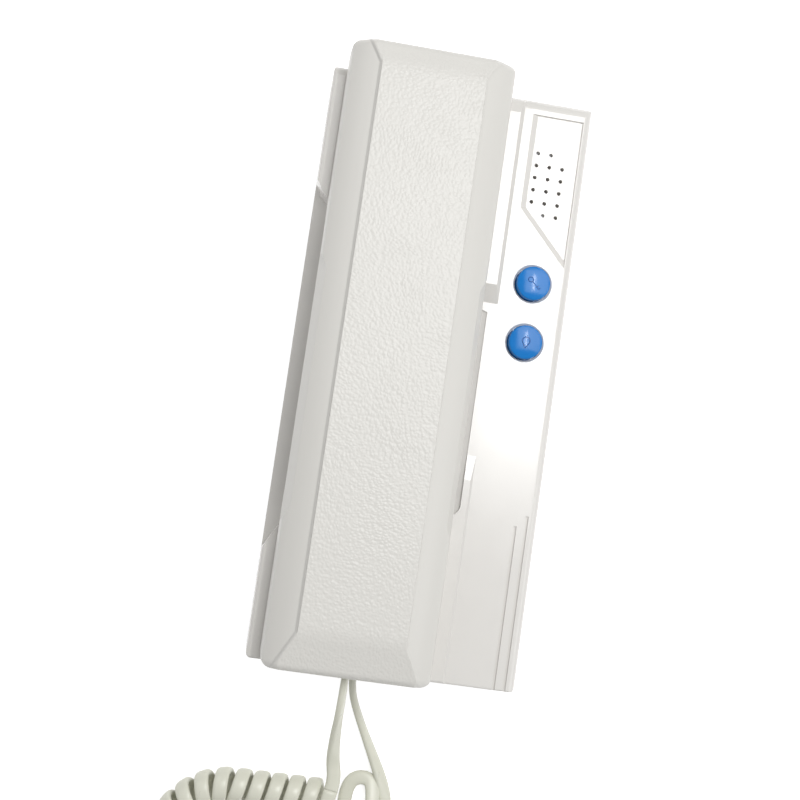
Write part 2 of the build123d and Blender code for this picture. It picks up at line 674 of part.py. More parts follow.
def grommet(x, y_wall, z, inward):
    """Cord grommet: a plug in the wall, flush outside, with side flanges inside."""
    body = box(x - GROMMET_WIDTH / 2, x + GROMMET_WIDTH / 2, y_wall, y_wall + inward,
               z - GROMMET_HEIGHT / 2, z + GROMMET_HEIGHT / 2)
    flange = box(x - GROMMET_WIDTH / 2 - GROMMET_FLANGE, x + GROMMET_WIDTH / 2 + GROMMET_FLANGE,
                 y_wall + inward, y_wall + inward + GROMMET_FLANGE_T,
                 z - GROMMET_HEIGHT / 2, z + GROMMET_HEIGHT / 2)
    return body + flange


def make_front_cover():
    """Front cover of the base: panel, cradle recesses, finger scoop, grille field, wells and grooves."""
    outer = base_block(0, SEAM_Z, PANEL_Z)
    inner = base_block(BASE_WALL, SEAM_Z - 3, PANEL_UNDER_Z)
    inside = outer & base_block(BASE_WALL / 2, SEAM_Z - 3, PANEL_Z)
    cover = outer - inner
    cover += speaker_seat() & inside
    cover += scoop_space(BASE_WALL, BASE_WALL) & outer
    cover += recesses(RECESS_WALL, RECESS_FLOOR_Z - RECESS_WALL, PANEL_Z) & outer
    cover += box(SPEAKER_X - SPEAKER_R, FIELD_RIGHT_X, FIELD_LOW_Y - FIELD_BACK_MARGIN,
                 FIELD_TOP_Y + FIELD_BACK_MARGIN, PANEL_UNDER_Z - FIELD_DEPTH, PANEL_UNDER_Z + STRIP_ROOT / 2)
    cover += raised_strip()
    cover += low_band()
    cover -= scoop_space(0, 0)
    cover -= recesses(0, RECESS_FLOOR_Z, PANEL_Z + 6)
    cover -= field_cut()
    for hole in grille_holes():
        cover -= hole
    for y in (UNLOCK_Y, CALL_Y):
        cover -= button_well(y)
    for inset, length in zip(GROOVE_INSET, GROOVE_LENGTH):
        x0 = RIGHT - inset - GROOVE_WIDTH / 2
        cover -= box(x0, x0 + GROOVE_WIDTH, -TOP - 1, length - TOP, PANEL_Z - GROOVE_DEPTH, PANEL_Z + 1)
    for x, y in cover_screw_spots():
        cover -= rod(x, y, SEAM_Z, RECESS_FLOOR_Z + 1, COVER_SHANK_R + COVER_HOLE_CLEARANCE)
    for pilot in clamp_pilots():
        cover -= pilot
    cover -= grommet_slot(BASE_EXIT[0], -TOP, BASE_EXIT[1], BASE_WALL)
    half = LEVER_WIDTH / 2 + LEVER_SIDE_GAP
    wall_y = EAR_CUP_Y[0] - RECESS_INNER_GAP
    cover -= box(LEVER_X - half, LEVER_X + half, wall_y - RECESS_WALL - 0.5, wall_y + 1,
                 RECESS_FLOOR_Z + HOOK_SLOT_FLOOR, LEVER_PIVOT_Z + HOOK_SLOT_RISE)
    return cover


def make_back_plate():
    """Wall plate: floor, rim, lip that locates the cover, posts, pads, wall holes and cable entry."""
    corner = PLAN_CORNER
    plate = rounded_slab(-RIGHT, RIGHT, -TOP, TOP, 0, SEAM_Z, corner)
    plate -= rounded_slab(-RIGHT + BASE_WALL, RIGHT - BASE_WALL, -TOP + BASE_WALL, TOP - BASE_WALL,
                          BASE_WALL, SEAM_Z + 1, INNER_CORNER)
    lip_out = BASE_WALL + LIP_CLEARANCE
    lip_in = lip_out + LIP_WALL
    lip = rounded_slab(-RIGHT + lip_out, RIGHT - lip_out, -TOP + lip_out, TOP - lip_out,
                       BASE_WALL, SEAM_Z + LIP_HEIGHT, INNER_CORNER)
    lip -= rounded_slab(-RIGHT + lip_in, RIGHT - lip_in, -TOP + lip_in, TOP - lip_in,
                        BASE_WALL - 1, SEAM_Z + LIP_HEIGHT + 1, INNER_CORNER)
    plate += lip
    for x, y in cover_screw_spots():
        plate += rod(x, y, BASE_WALL - 0.5, RECESS_FLOOR_Z - RECESS_WALL, COVER_POST_R)
    for x, y in board_screw_spots():
        plate += rod(x, y, BASE_WALL - 0.5, BOARD_Z, POST_R)
    for x, y in cover_screw_spots():
        plate -= rod(x, y, RECESS_FLOOR_Z - COVER_SCREW_LENGTH, RECESS_FLOOR_Z, COVER_SHANK_R)
    for x, y in board_screw_spots():
        plate -= rod(x, y, BOARD_TOP - BOARD_SCREW_LENGTH, BOARD_Z + 1, PILOT_R)
    for side in (-1, 1):
        plate -= rod(WALL_FIX_X, side * WALL_HOLE_SPACING / 2, -1, BASE_WALL + 1, WALL_HOLE_R)
    plate -= box(WALL_FIX_X - CABLE_ENTRY_WIDTH / 2, WALL_FIX_X + CABLE_ENTRY_WIDTH / 2,
                 -CABLE_ENTRY_HEIGHT / 2, CABLE_ENTRY_HEIGHT / 2, -1, BASE_WALL + 1)
    slot = grommet_slot(BASE_EXIT[0], -TOP, BASE_EXIT[1], BASE_WALL)
    slot += box(BASE_EXIT[0] - GROMMET_WIDTH / 2 - GROMMET_FLANGE - GROMMET_GAP,
                BASE_EXIT[0] + GROMMET_WIDTH / 2 + GROMMET_FLANGE + GROMMET_GAP,
                -TOP + BASE_WALL, -TOP + lip_in + 1,
                BASE_EXIT[1] - GROMMET_HEIGHT / 2, SEAM_Z + LIP_HEIGHT + 1)
    return plate - slot


def board_screw_spots():
    """Places of the four board screws."""
    x0 = BOARD_LEFT_X + BOARD_SCREW_INSET
    x1 = BOARD_RIGHT_X - BOARD_SCREW_INSET
    high = BOARD_HIGH_Y - BOARD_SCREW_INSET
    low = BOARD_LOW_Y + BOARD_SCREW_INSET
    return ((x0, high), (x1, high), (x0, low), (x1, low))


def screw(x, y, head_z, head_h, head_r, shank_r, length, up):
    """Pan-head screw with a cross slot; its shank runs up or down from the head's seat."""
    side = 1 if up else -1
    head_end = head_z - side * head_h
    head = rod(x, y, min(head_z, head_end), max(head_z, head_end), head_r)
    tip = head_z + side * length
    shank = rod(x, y, min(head_z, tip), max(head_z, tip), shank_r)
    depth = head_h * 0.5
    arm = head_r * 0.6
    slit = head_r * 0.13
    low = min(head_end, head_end + side * depth)
    high = max(head_end, head_end + side * depth)
    cross = box(x - arm, x + arm, y - slit, y + slit, low, high)
    cross += box(x - slit, x + slit, y - arm, y + arm, low, high)
    return head + shank - cross


def make_cover_screws():
    """Four screws that hold the cover on the wall plate."""
    return Compound([
        screw(x, y, RECESS_FLOOR_Z, COVER_HEAD_H, COVER_HEAD_R, COVER_SHANK_R, COVER_SCREW_LENGTH, False)
        for x, y in cover_screw_spots()])


def make_board():
    """Circuit board with its four screw holes."""
    board = box(BOARD_LEFT_X, BOARD_RIGHT_X, BOARD_LOW_Y, BOARD_HIGH_Y, BOARD_Z, BOARD_TOP)
    for x, y in board_screw_spots():
        board -= rod(x, y, BOARD_Z - 1, BOARD_TOP + 1, BOARD_HOLE_R)
    return board


def make_board_screws():
    """Four screws that hold the board on its posts."""
    return Compound([
        screw(x, y, BOARD_TOP, BOARD_SCREW_HEAD_H, BOARD_SCREW_HEAD_R, PILOT_R, BOARD_SCREW_LENGTH, False)
        for x, y in board_screw_spots()])


def terminal_xs():
    """Middle of each way of the terminal block."""
    half = (TERMINAL_COUNT - 1) / 2
    return [TERMINAL_X + (way - half) * TERMINAL_PITCH for way in range(TERMINAL_COUNT)]


def make_terminal_block():
    """Terminal block with a wire entry and a screw shaft for each way."""
    half = TERMINAL_COUNT * TERMINAL_PITCH / 2
    top = BOARD_TOP + TERMINAL_HEIGHT
    block = box(TERMINAL_X - half, TERMINAL_X + half, TERMINAL_Y - TERMINAL_DEPTH / 2,
                TERMINAL_Y + TERMINAL_DEPTH / 2, BOARD_TOP, top)
    half_way = TERMINAL_ENTRY_WIDTH / 2
    entry_z = BOARD_TOP + TERMINAL_ENTRY_Z
    for x in terminal_xs():
        block -= box(x - half_way, x + half_way, TERMINAL_Y - TERMINAL_DEPTH / 2 - 1, TERMINAL_Y, entry_z,
                     entry_z + TERMINAL_ENTRY_HEIGHT)
        shaft_r = TERMINAL_SCREW_R + TERMINAL_SHAFT_GAP
        block -= rod(x, TERMINAL_Y, BOARD_TOP + TERMINAL_SHAFT_Z, top + 1, shaft_r)
    return block


def make_terminal_screws():
    """Slotted clamp screws of the terminal block."""
    top = BOARD_TOP + TERMINAL_HEIGHT - TERMINAL_SCREW_SINK
    low = BOARD_TOP + TERMINAL_ENTRY_Z + TERMINAL_ENTRY_HEIGHT
    half_slot = TERMINAL_SLOT_WIDTH / 2
    screws = []
    for x in terminal_xs():
        body = rod(x, TERMINAL_Y, low, top, TERMINAL_SCREW_R)
        body -= box(x - TERMINAL_SCREW_R, x + TERMINAL_SCREW_R, TERMINAL_Y - half_slot,
                    TERMINAL_Y + half_slot, top - TERMINAL_SLOT_DEPTH, top + 1)
        screws.append(body)
    return Compound(screws)


def make_capacitors():
    """Two round capacitors standing on the board."""
    cans = []
    for y in CAPACITOR_Y:
        can = rod(CAPACITOR_X, y, BOARD_TOP, BOARD_TOP + CAPACITOR_H, CAPACITOR_R)
        can = fillet(can.edges().filter_by(GeomType.CIRCLE).sort_by(Axis.Z)[-1], CAPACITOR_ROUND)
        cans.append(can)
    return Compound(cans)


def make_chip():
    """Control chip with a pin-one dimple."""
    length, width, height = CHIP_SIZE
    body = Pos(CHIP_X, CHIP_Y, BOARD_TOP + height / 2) * Box(length, width, height)
    top = BOARD_TOP + height
    dimple_x = CHIP_X - length / 2 + CHIP_DIMPLE_INSET
    return body - rod(dimple_x, CHIP_Y, top - CHIP_DIMPLE_DEPTH, top + 1, CHIP_DIMPLE_R)


def make_connector():
    """Cord connector on the board, open at its top."""
    length, width, height = CONNECTOR_SIZE
    body = Pos(CONNECTOR_X, CONNECTOR_Y, BOARD_TOP + height / 2) * Box(length, width, height)
    inside = Box(length - 2 * CONNECTOR_WALL, width - 2 * CONNECTOR_WALL, height)
    pocket = Pos(CONNECTOR_X, CONNECTOR_Y, BOARD_TOP + height) * inside
    return body - pocket


def make_button_switches():
    """Push switch under each button."""
    switches = []
    for y in (UNLOCK_Y, CALL_Y):
        top = BOARD_TOP + SWITCH_HEIGHT
        half = SWITCH_SIDE / 2
        body = box(BUTTON_X - half, BUTTON_X + half, y - half, y + half, BOARD_TOP, top)
        body += rod(BUTTON_X, y, top, top + SWITCH_PLUNGER_H, SWITCH_PLUNGER_R)
        switches.append(body)
    return Compound(switches)


def domed_rod(z0, rim):
    """Solid of a button's cap: a domed cylinder with a rounded rim."""
    crest = rim + BUTTON_DOME
    middle = rim + BUTTON_DOME * 0.75
    dome = ThreePointArc((0, crest), (BUTTON_R / 2, middle), (BUTTON_R, rim))
    rest = Polyline((BUTTON_R, rim), (BUTTON_R, z0), (0, z0), (0, crest))
    face = make_face([dome, rest])
    corner = face.vertices().filter_by(lambda v: abs(v.X - BUTTON_R) < 0.01 and abs(v.Y - rim) < 0.01)
    face = fillet(corner, BUTTON_RIM_ROUND)
    return revolve(Plane.XZ * face, axis=Axis.Z)


def make_button(y):
    """Domed cap with a retaining flange, a hollow skirt and a stem over the switch."""
    rim = PANEL_Z + BUTTON_PROUD
    flange_top = PANEL_UNDER_Z - FLANGE_GAP
    stem_end = BOARD_TOP + SWITCH_HEIGHT + SWITCH_PLUNGER_H + SWITCH_GAP + BUTTON_TRAVEL
    skirt_end = PANEL_Z - BUTTON_SKIRT
    cap = Pos(BUTTON_X, y, 0) * domed_rod(skirt_end, rim)
    cap += rod(BUTTON_X, y, flange_top - BUTTON_FLANGE_T, flange_top, BUTTON_FLANGE_R)
    ceiling = rim - 2 * BUTTON_WALL
    cap -= rod(BUTTON_X, y, skirt_end - 1, ceiling, BUTTON_R - BUTTON_WALL)
    return cap + rod(BUTTON_X, y, stem_end, ceiling + BUTTON_WALL / 2, BUTTON_STEM_R)


def biarc(start, start_dir, end, end_dir):
    """Two arcs that meet smoothly, from one point and direction to the next."""
    chord = end - start
    total = start_dir + end_dir
    a = 2 * (1 - start_dir.dot(end_dir))
    b = 2 * chord.dot(total)
    c = -chord.dot(chord)
    reach = (-b + math.sqrt(b * b - 4 * a * c)) / (2 * a)
    middle = (start + end + (start_dir - end_dir) * reach) * 0.5
    first = TangentArc(start, middle, tangent=start_dir)
    second = TangentArc(middle, end, tangent=first % 1)
    return [first, second]


def wound_tube(point_at, turns, wire_r, lead_in):
    """Tube along a winding, swept on biarcs of half a turn, with straight ends.

    point_at gives the winding's point for a number of turns; lead_in is the length of each straight end.
    """
    nudge = 1e-4

    def direction(turn):
        return (point_at(turn + nudge) - point_at(turn - nudge)).normalized()

    count = round(turns * 2)
    knots = [turns * step / count for step in range(count + 1)]
    first_dir = direction(0)
    last_dir = direction(turns)
    start = point_at(0) - first_dir * lead_in
    edges = [Line(start, point_at(0))]
    for here, there in zip(knots, knots[1:]):
        edges += biarc(point_at(here), direction(here), point_at(there), direction(there))
    edges.append(Line(point_at(turns), point_at(turns) + last_dir * lead_in))
    path = Wire([edge.edge() for edge in edges])
    section = Plane(origin=start, z_dir=first_dir) * Circle(wire_r)
    return sweep(section, path=path)


def coil_spring(x, y, z0, z1, mean_r, wire_r, turns):
    """Upright coil spring between two faces."""
    low = z0 + wire_r + SPRING_END_GAP
    rise = (z1 - z0 - 2 * wire_r - 2 * SPRING_END_GAP) / turns

    def point_at(turn):
        angle = 2 * math.pi * turn
        return Vector(x + mean_r * math.cos(angle), y + mean_r * math.sin(angle), low + rise * turn)

    return wound_tube(point_at, turns, wire_r, wire_r)


def make_button_spring(y):
    """Return spring around the switch, from the board to the cap's ceiling."""
    ceiling = PANEL_Z + BUTTON_PROUD - 2 * BUTTON_WALL
    return coil_spring(BUTTON_X, y, BOARD_TOP, ceiling, SPRING_MEAN_R, SPRING_WIRE_R, SPRING_TURNS)


def make_call_speaker():
    """Call loudspeaker: rim with a dished front, and a magnet behind."""
    front = PANEL_Z - FIELD_DEPTH - BASE_WALL
    back = front - SPEAKER_RIM_H
    speaker = rod(SPEAKER_X, SPEAKER_Y, back, front, SPEAKER_R)
    speaker += rod(SPEAKER_X, SPEAKER_Y, back - SPEAKER_MAGNET_H, back, SPEAKER_MAGNET_R)
    return speaker - rod(SPEAKER_X, SPEAKER_Y, front - SPEAKER_CONE_DEPTH, front + 1, SPEAKER_CONE_R)


def make_call_speaker_cone():
    """Paper cone in the dish of the call loudspeaker."""
    back = PANEL_Z - FIELD_DEPTH - BASE_WALL - SPEAKER_CONE_DEPTH
    return rod(SPEAKER_X, SPEAKER_Y, back, back + SPEAKER_CONE_T, SPEAKER_CONE_R)


def clamp_z():
    """Height of the clamp bar's seat behind the loudspeaker's magnet."""
    return PANEL_Z - FIELD_DEPTH - BASE_WALL - SPEAKER_RIM_H - SPEAKER_MAGNET_H


def make_speaker_clamp():
    """Bar that presses the loudspeaker against the panel."""
    top = clamp_z()
    reach = CLAMP_SCREW_REACH + CLAMP_WIDTH / 2
    half = CLAMP_WIDTH / 2
    bar = rounded_slab(SPEAKER_X - half, SPEAKER_X + half, SPEAKER_Y - reach, SPEAKER_Y + reach,
                       top - CLAMP_T, top, half * 0.95)
    for side in (-1, 1):
        bar -= rod(SPEAKER_X, SPEAKER_Y + side * CLAMP_SCREW_REACH, top - CLAMP_T - 1, top + 1,
                   CLAMP_SCREW_R + CLAMP_HOLE_CLEARANCE)
    return bar


def make_speaker_clamp_screws():
    """Two screws of the clamp bar."""
    seat = clamp_z() - CLAMP_T
    spots = [SPEAKER_Y - CLAMP_SCREW_REACH, SPEAKER_Y + CLAMP_SCREW_REACH]
    return Compound([
        screw(SPEAKER_X, y, seat, CLAMP_HEAD_H, CLAMP_HEAD_R, CLAMP_SCREW_R, CLAMP_SCREW_LENGTH, True)
        for y in spots])


def bracket_xs():
    """Inner faces of the lever bracket's two ears."""
    left = LEVER_X - LEVER_WIDTH / 2 - LEVER_SIDE_GAP
    right = LEVER_X + LEVER_WIDTH / 2 + LEVER_SIDE_GAP + HOOK_SPRING_ROOM
    return left, right


def make_hook_bracket():
    """U-shaped bracket on the board that carries the lever's pivot pin."""
    left, right = bracket_xs()
    y0 = LEVER_PIVOT_Y - BRACKET_LENGTH / 2
    y1 = LEVER_PIVOT_Y + BRACKET_LENGTH / 2
    bracket = box(left - BRACKET_T, right + BRACKET_T, y0, y1, BOARD_TOP, BOARD_TOP + BRACKET_BASE_T)
    top = LEVER_PIVOT_Z + BRACKET_RISE
    bracket += box(left - BRACKET_T, left, y0, y1, BOARD_TOP, top)
    bracket += box(right, right + BRACKET_T, y0, y1, BOARD_TOP, top)
    reach = 2 * BRACKET_T
    return bracket - rod_x(left - reach, right + reach, LEVER_PIVOT_Y, LEVER_PIVOT_Z, HOOK_PIN_R)


def make_hook_pin():
    """Pivot pin of the hook lever."""
    left, right = bracket_xs()
    proud = BRACKET_T + HOOK_PIN_PROUD
    return rod_x(left - proud, right + proud, LEVER_PIVOT_Y, LEVER_PIVOT_Z, HOOK_PIN_R)


def make_hook_lever():
    """Lever whose front end lies under the earpiece cup and whose tail works the hook switch."""
    x0 = LEVER_X - LEVER_WIDTH / 2
    x1 = LEVER_X + LEVER_WIDTH / 2
    y0 = LEVER_PIVOT_Y - LEVER_TAIL
    y1 = LEVER_PIVOT_Y + LEVER_FRONT
    z0 = LEVER_PIVOT_Z - LEVER_T / 2
    z1 = LEVER_PIVOT_Z + LEVER_T / 2
    outline = ((y0, z0), (y1 - LEVER_NOSE, z0), (y1, z0 + LEVER_NOSE_LOW), (y1, z1 - LEVER_NOSE_HIGH),
               (y1 - LEVER_NOSE, z1), (y0, z1))
    lever = prism_x(outline, x0, x1)
    lever += rod_x(x0, x1, LEVER_PIVOT_Y, LEVER_PIVOT_Z, LEVER_HUB_R)
    return lever - rod_x(x0 - 1, x1 + 1, LEVER_PIVOT_Y, LEVER_PIVOT_Z, HOOK_PIN_R + HOOK_PIN_CLEARANCE)


def make_hook_spring():
    """Torsion spring on the pivot pin, beside the lever, with two straight legs."""
    start = LEVER_X + LEVER_WIDTH / 2 + LEVER_SIDE_GAP + 2 * SPRING_WIRE_R
    pitch = (HOOK_SPRING_ROOM - 4 * SPRING_WIRE_R) / HOOK_SPRING_TURNS

    def point_at(turn):
        angle = 2 * math.pi * turn
        y = LEVER_PIVOT_Y + HOOK_SPRING_R * math.sin(angle)
        z = LEVER_PIVOT_Z + HOOK_SPRING_R * math.cos(angle)
        return Vector(start + pitch * turn, y, z)

    return wound_tube(point_at, HOOK_SPRING_TURNS, SPRING_WIRE_R, HOOK_SPRING_LEG)


def make_hook_switch():
    """Small push switch under the lever's tail."""
    y = LEVER_PIVOT_Y - LEVER_TAIL + HOOK_SWITCH_TAIL
    half = HOOK_SWITCH_SIDE / 2
    body = box(LEVER_X - half, LEVER_X + half, y - half, y + half, BOARD_TOP, HOOK_PLUNGER_Z)
    return body + rod(LEVER_X, y, HOOK_PLUNGER_Z, HOOK_PLUNGER_Z + HOOK_PLUNGER_H, HOOK_PLUNGER_R)


def shoulder_arc():
    """Middle and radius of the crowned right shoulder's arc, from the handset's middle plane, and its mid angle."""
    run, rise = HANDSET_SHOULDER_RUN, HANDSET_SHOULDER_RISE
    chord = math.hypot(run, rise)
    radius = chord ** 2 / 8 / HANDSET_SHOULDER_CROWN + HANDSET_SHOULDER_CROWN / 2
    angle = math.atan2(run, rise)
    reach = radius - HANDSET_SHOULDER_CROWN
    x = (HANDSET_SHOULDER_WIDTH - run) / 2 - reach * math.cos(angle)
    z = HANDSET_SHOULDER_Z + rise / 2 - reach * math.sin(angle)
    return x, z, radius, angle


def handset_across(inset):
    """Handset's cross-section: raised panel, crowned sloping shoulders and sides that widen to the waist."""
    x, z, radius, angle = shoulder_arc()
    crest_x = x + radius * math.cos(angle)
    crest_z = z + radius * math.sin(angle)
    foot = HANDSET_PANEL_WIDTH / 2
    shoulder = HANDSET_SHOULDER_WIDTH / 2
    waist = HANDSET_MID_WIDTH / 2
    edges = [
        Polyline((-shoulder, HANDSET_SHOULDER_Z), (-waist, HANDSET_WAIST_Z), (-waist, PANEL_UNDER_Z),
                 (waist, PANEL_UNDER_Z), (waist, HANDSET_WAIST_Z), (shoulder, HANDSET_SHOULDER_Z)),
        ThreePointArc((shoulder, HANDSET_SHOULDER_Z), (crest_x, crest_z), (foot, HANDSET_PANEL_FOOT_Z)),
        Line((foot, HANDSET_PANEL_FOOT_Z), (-foot, HANDSET_PANEL_FOOT_Z)),
        ThreePointArc((-foot, HANDSET_PANEL_FOOT_Z), (-crest_x, crest_z), (-shoulder, HANDSET_SHOULDER_Z)),
    ]
    face = make_face(edges)
    shoulders = face.vertices().filter_by(lambda v: abs(v.Y - HANDSET_SHOULDER_Z) < 0.01)
    face = fillet(shoulders, HANDSET_SHOULDER_ROUND)
    if inset:
        face = offset(face, amount=-inset, kind=Kind.INTERSECTION)
    else:
        crown = foot - PANEL_RAISE_RUN
        face += make_face(Polyline((-foot, HANDSET_PANEL_FOOT_Z), (foot, HANDSET_PANEL_FOOT_Z),
                                   (crown, HANDSET_PANEL_Z), (-crown, HANDSET_PANEL_Z), close=True))
    length = HANDSET_TOP_Y - HANDSET_LOW_Y + HANDSET_MID_WIDTH
    solid = extrude(face, amount=length / 2, both=True)
    middle = (HANDSET_TOP_Y + HANDSET_LOW_Y) / 2
    return Pos(HANDSET_X, middle, 0) * Rot(90, 0, 0) * solid


def corners_at(face, spots):
    """Corners of a flat outline that lie at the given spots."""
    return [corner for corner in face.vertices() for x, y in spots
            if math.hypot(corner.X - x, corner.Y - y) < 0.01]


def handset_along(inset):
    """Handset's side outline: a flat panel with gently falling ends, and a back raised between the ends."""
    top = HANDSET_TOP_Y
    low = HANDSET_LOW_Y
    top_z = HANDSET_PANEL_Z - PANEL_TOP_DROP
    low_z = HANDSET_PANEL_Z - PANEL_LOW_DROP
    bevel = HANDSET_BACK_BEVEL
    bends = ((top - PANEL_TOP_RUN, HANDSET_PANEL_Z), (low + PANEL_LOW_RUN, HANDSET_PANEL_Z))
    noses = ((top, top_z), (low, low_z))
    outline = (
        bends[0], noses[0], (top, END_BACK_Z + bevel), (top - bevel, END_BACK_Z),
        (GRIP_TOP_Y + GRIP_SLOPE_RUN, END_BACK_Z), (GRIP_TOP_Y, GRIP_BACK_Z),
        (GRIP_LOW_Y, GRIP_BACK_Z), (GRIP_LOW_Y - GRIP_SLOPE_RUN, END_BACK_Z),
        (low + bevel, END_BACK_Z), (low, END_BACK_Z + bevel), noses[1], bends[1])
    face = make_face(Polyline(*outline, close=True))
    face = fillet(corners_at(face, noses), HANDSET_END_ROUND)
    face = fillet(corners_at(face, bends), PANEL_BEND_ROUND)
    if inset:
        face = offset(face, amount=-inset, kind=Kind.INTERSECTION)
    solid = extrude(face, amount=HANDSET_MID_WIDTH, both=True)
    return Pos(HANDSET_X, 0, 0) * Rot(0, 0, 90) * Rot(90, 0, 0) * solid


def handset_plan(inset):
    """Handset's outline from the front: straight sides and rounded corners."""
    half = HANDSET_MID_WIDTH / 2
    top = HANDSET_TOP_Y
    low = HANDSET_LOW_Y
    face = make_face(Polyline((half, low), (half, top), (-half, top), (-half, low), close=True))
    face = fillet(face.vertices().sort_by(Axis.Y)[:2], HANDSET_LOW_CORNER)
    face = fillet(face.vertices().sort_by(Axis.Y)[-2:], HANDSET_TOP_CORNER)
    if inset:
        face = offset(face, amount=-inset, kind=Kind.INTERSECTION)
    return Pos(HANDSET_X, 0, RECESS_FLOOR_Z) * extrude(face, amount=HANDSET_PANEL_Z)


def shoulder_end_waste(side, out, inset):
    """What lies outside the rounding between one crowned shoulder and one end face."""
    x, z, radius, angle = shoulder_arc()
    y = HANDSET_TOP_Y if out > 0 else HANDSET_LOW_Y
    round_r = HANDSET_END_ROUND - inset
    surface = radius - inset
    edge = -inset - round_r
    bulge = -inset - round_r * (1 - math.sqrt(0.5))
    far = HANDSET_END_ROUND
    # the drawing's x runs out of the end face and its y away from the middle of the shoulder's arc
    arc = ThreePointArc((edge, surface), (bulge, radius + bulge), (-inset, surface - round_r))
    rest = Polyline((-inset, surface - round_r), (far, surface - round_r), (far, radius + far),
                    (edge, radius + far), (edge, surface))
    hub = (HANDSET_X + side * x, y, z)
    drawing = Plane(origin=hub, x_dir=(0, out, 0), z_dir=(out * math.sin(angle), 0, -out * side * math.cos(angle)))
    face = drawing * make_face([arc, rest])
    sweep = math.degrees(2 * math.asin(math.hypot(HANDSET_SHOULDER_RUN, HANDSET_SHOULDER_RISE) / 2 / radius)) + 8
    axis = Axis(hub, (0, 1, 0))
    return revolve(face.rotate(axis, -sweep / 2), axis=axis, revolution_arc=sweep)


def grip_side_waste(side):
    """What the flat beside the grip takes off one shoulder, from the shoulder down to the waist."""
    half = HANDSET_MID_WIDTH / 2
    top_x = half - GRIP_SIDE_IN
    slope = HANDSET_SHOULDER_RISE / HANDSET_SHOULDER_RUN
    top_z = HANDSET_SHOULDER_Z + (HANDSET_SHOULDER_WIDTH / 2 - top_x) * slope
    lean = GRIP_SIDE_IN / (top_z - HANDSET_WAIST_Z)
    high_x = half - lean * (HANDSET_PANEL_Z - HANDSET_WAIST_Z)
    section = [(HANDSET_X + side * x, z) for x, z in (
        (half, HANDSET_WAIST_Z), (half + GRIP_SIDE_IN, HANDSET_WAIST_Z),
        (half + GRIP_SIDE_IN, HANDSET_PANEL_Z), (high_x, HANDSET_PANEL_Z))]
    y0, y1 = GRIP_SIDE_Y
    outer = half + GRIP_SIDE_IN
    plan = [(HANDSET_X + side * x, y) for x, y in (
        (outer, y0 - GRIP_SIDE_RUN), (outer, y1 + GRIP_SIDE_RUN),
        (high_x, y1 - GRIP_SIDE_RUN), (high_x, y0 + GRIP_SIDE_RUN))]
    reach = Pos(0, 0, HANDSET_WAIST_Z - 1) * extrude(make_face(Polyline(*plan, close=True)), amount=HANDSET_PANEL_Z)
    return prism_y(section, y0 - GRIP_SIDE_RUN, y1 + GRIP_SIDE_RUN) & reach


def handset_form(inset):
    """Handset's whole form without its cups, or the space inside its walls."""
    form = handset_across(inset) & handset_along(inset) & handset_plan(inset)
    for side in (-1, 1):
        for out in (-1, 1):
            form -= shoulder_end_waste(side, out, inset)
        if not inset:
            form -= grip_side_waste(side)
    return form


def cup(cup_y, grow, z0, z1):
    """One cup on the handset's back, or the space inside it with a negative growth."""
    half = CUP_WIDTH / 2 + grow
    return rounded_slab(HANDSET_X - half, HANDSET_X + half, cup_y[0] - grow, cup_y[1] + grow, z0, z1,
                        CUP_CORNER + grow)


def cup_holes(cup_y, radii, counts):
    """Sound holes in a cup's floor, one in its middle and the others on rings."""
    y = (cup_y[0] + cup_y[1]) / 2
    low = CUP_BOTTOM_Z - 1
    high = CUP_BOTTOM_Z + CUP_WALL + CUP_WALL / 4
    holes = [rod(HANDSET_X, y, low, high, CUP_HOLE_R)]
    for ring_r, count in zip(radii, counts):
        for index in range(count):
            angle = 2 * math.pi * index / count
            spot_x = HANDSET_X + ring_r * math.cos(angle)
            spot_y = y + ring_r * math.sin(angle)
            holes.append(rod(spot_x, spot_y, low, high, CUP_HOLE_R))
    return holes


def upper_half(z):
    """Everything in front of a height."""
    return box(-BASE_LENGTH, BASE_LENGTH, -BASE_LENGTH, BASE_LENGTH, z, BASE_LENGTH)


def lower_half(z):
    """Everything behind a height."""
    return box(-BASE_LENGTH, BASE_LENGTH, -BASE_LENGTH, BASE_LENGTH, -BASE_LENGTH, z)


def make_handset_front_shell():
    """Front shell of the handset, with the bosses for its screws."""
    shell = handset_form(0) - handset_form(HANDSET_WALL)
    shell = shell & upper_half(HANDSET_PART_Z)
    boss_top = HANDSET_PANEL_Z - HANDSET_WALL / 2
    for y in HANDSET_SCREW_Y:
        shell += rod(HANDSET_X, y, HANDSET_PART_Z, boss_top, HANDSET_BOSS_R)
        shell -= rod(HANDSET_X, y, HANDSET_PART_Z - 1, screw_seat_z() + HANDSET_SCREW_LENGTH, HANDSET_SCREW_R)
    return shell


def screw_seat_z():
    """Height of the seat under each handset screw's head."""
    return GRIP_BACK_Z + HANDSET_SCREW_HEAD_H


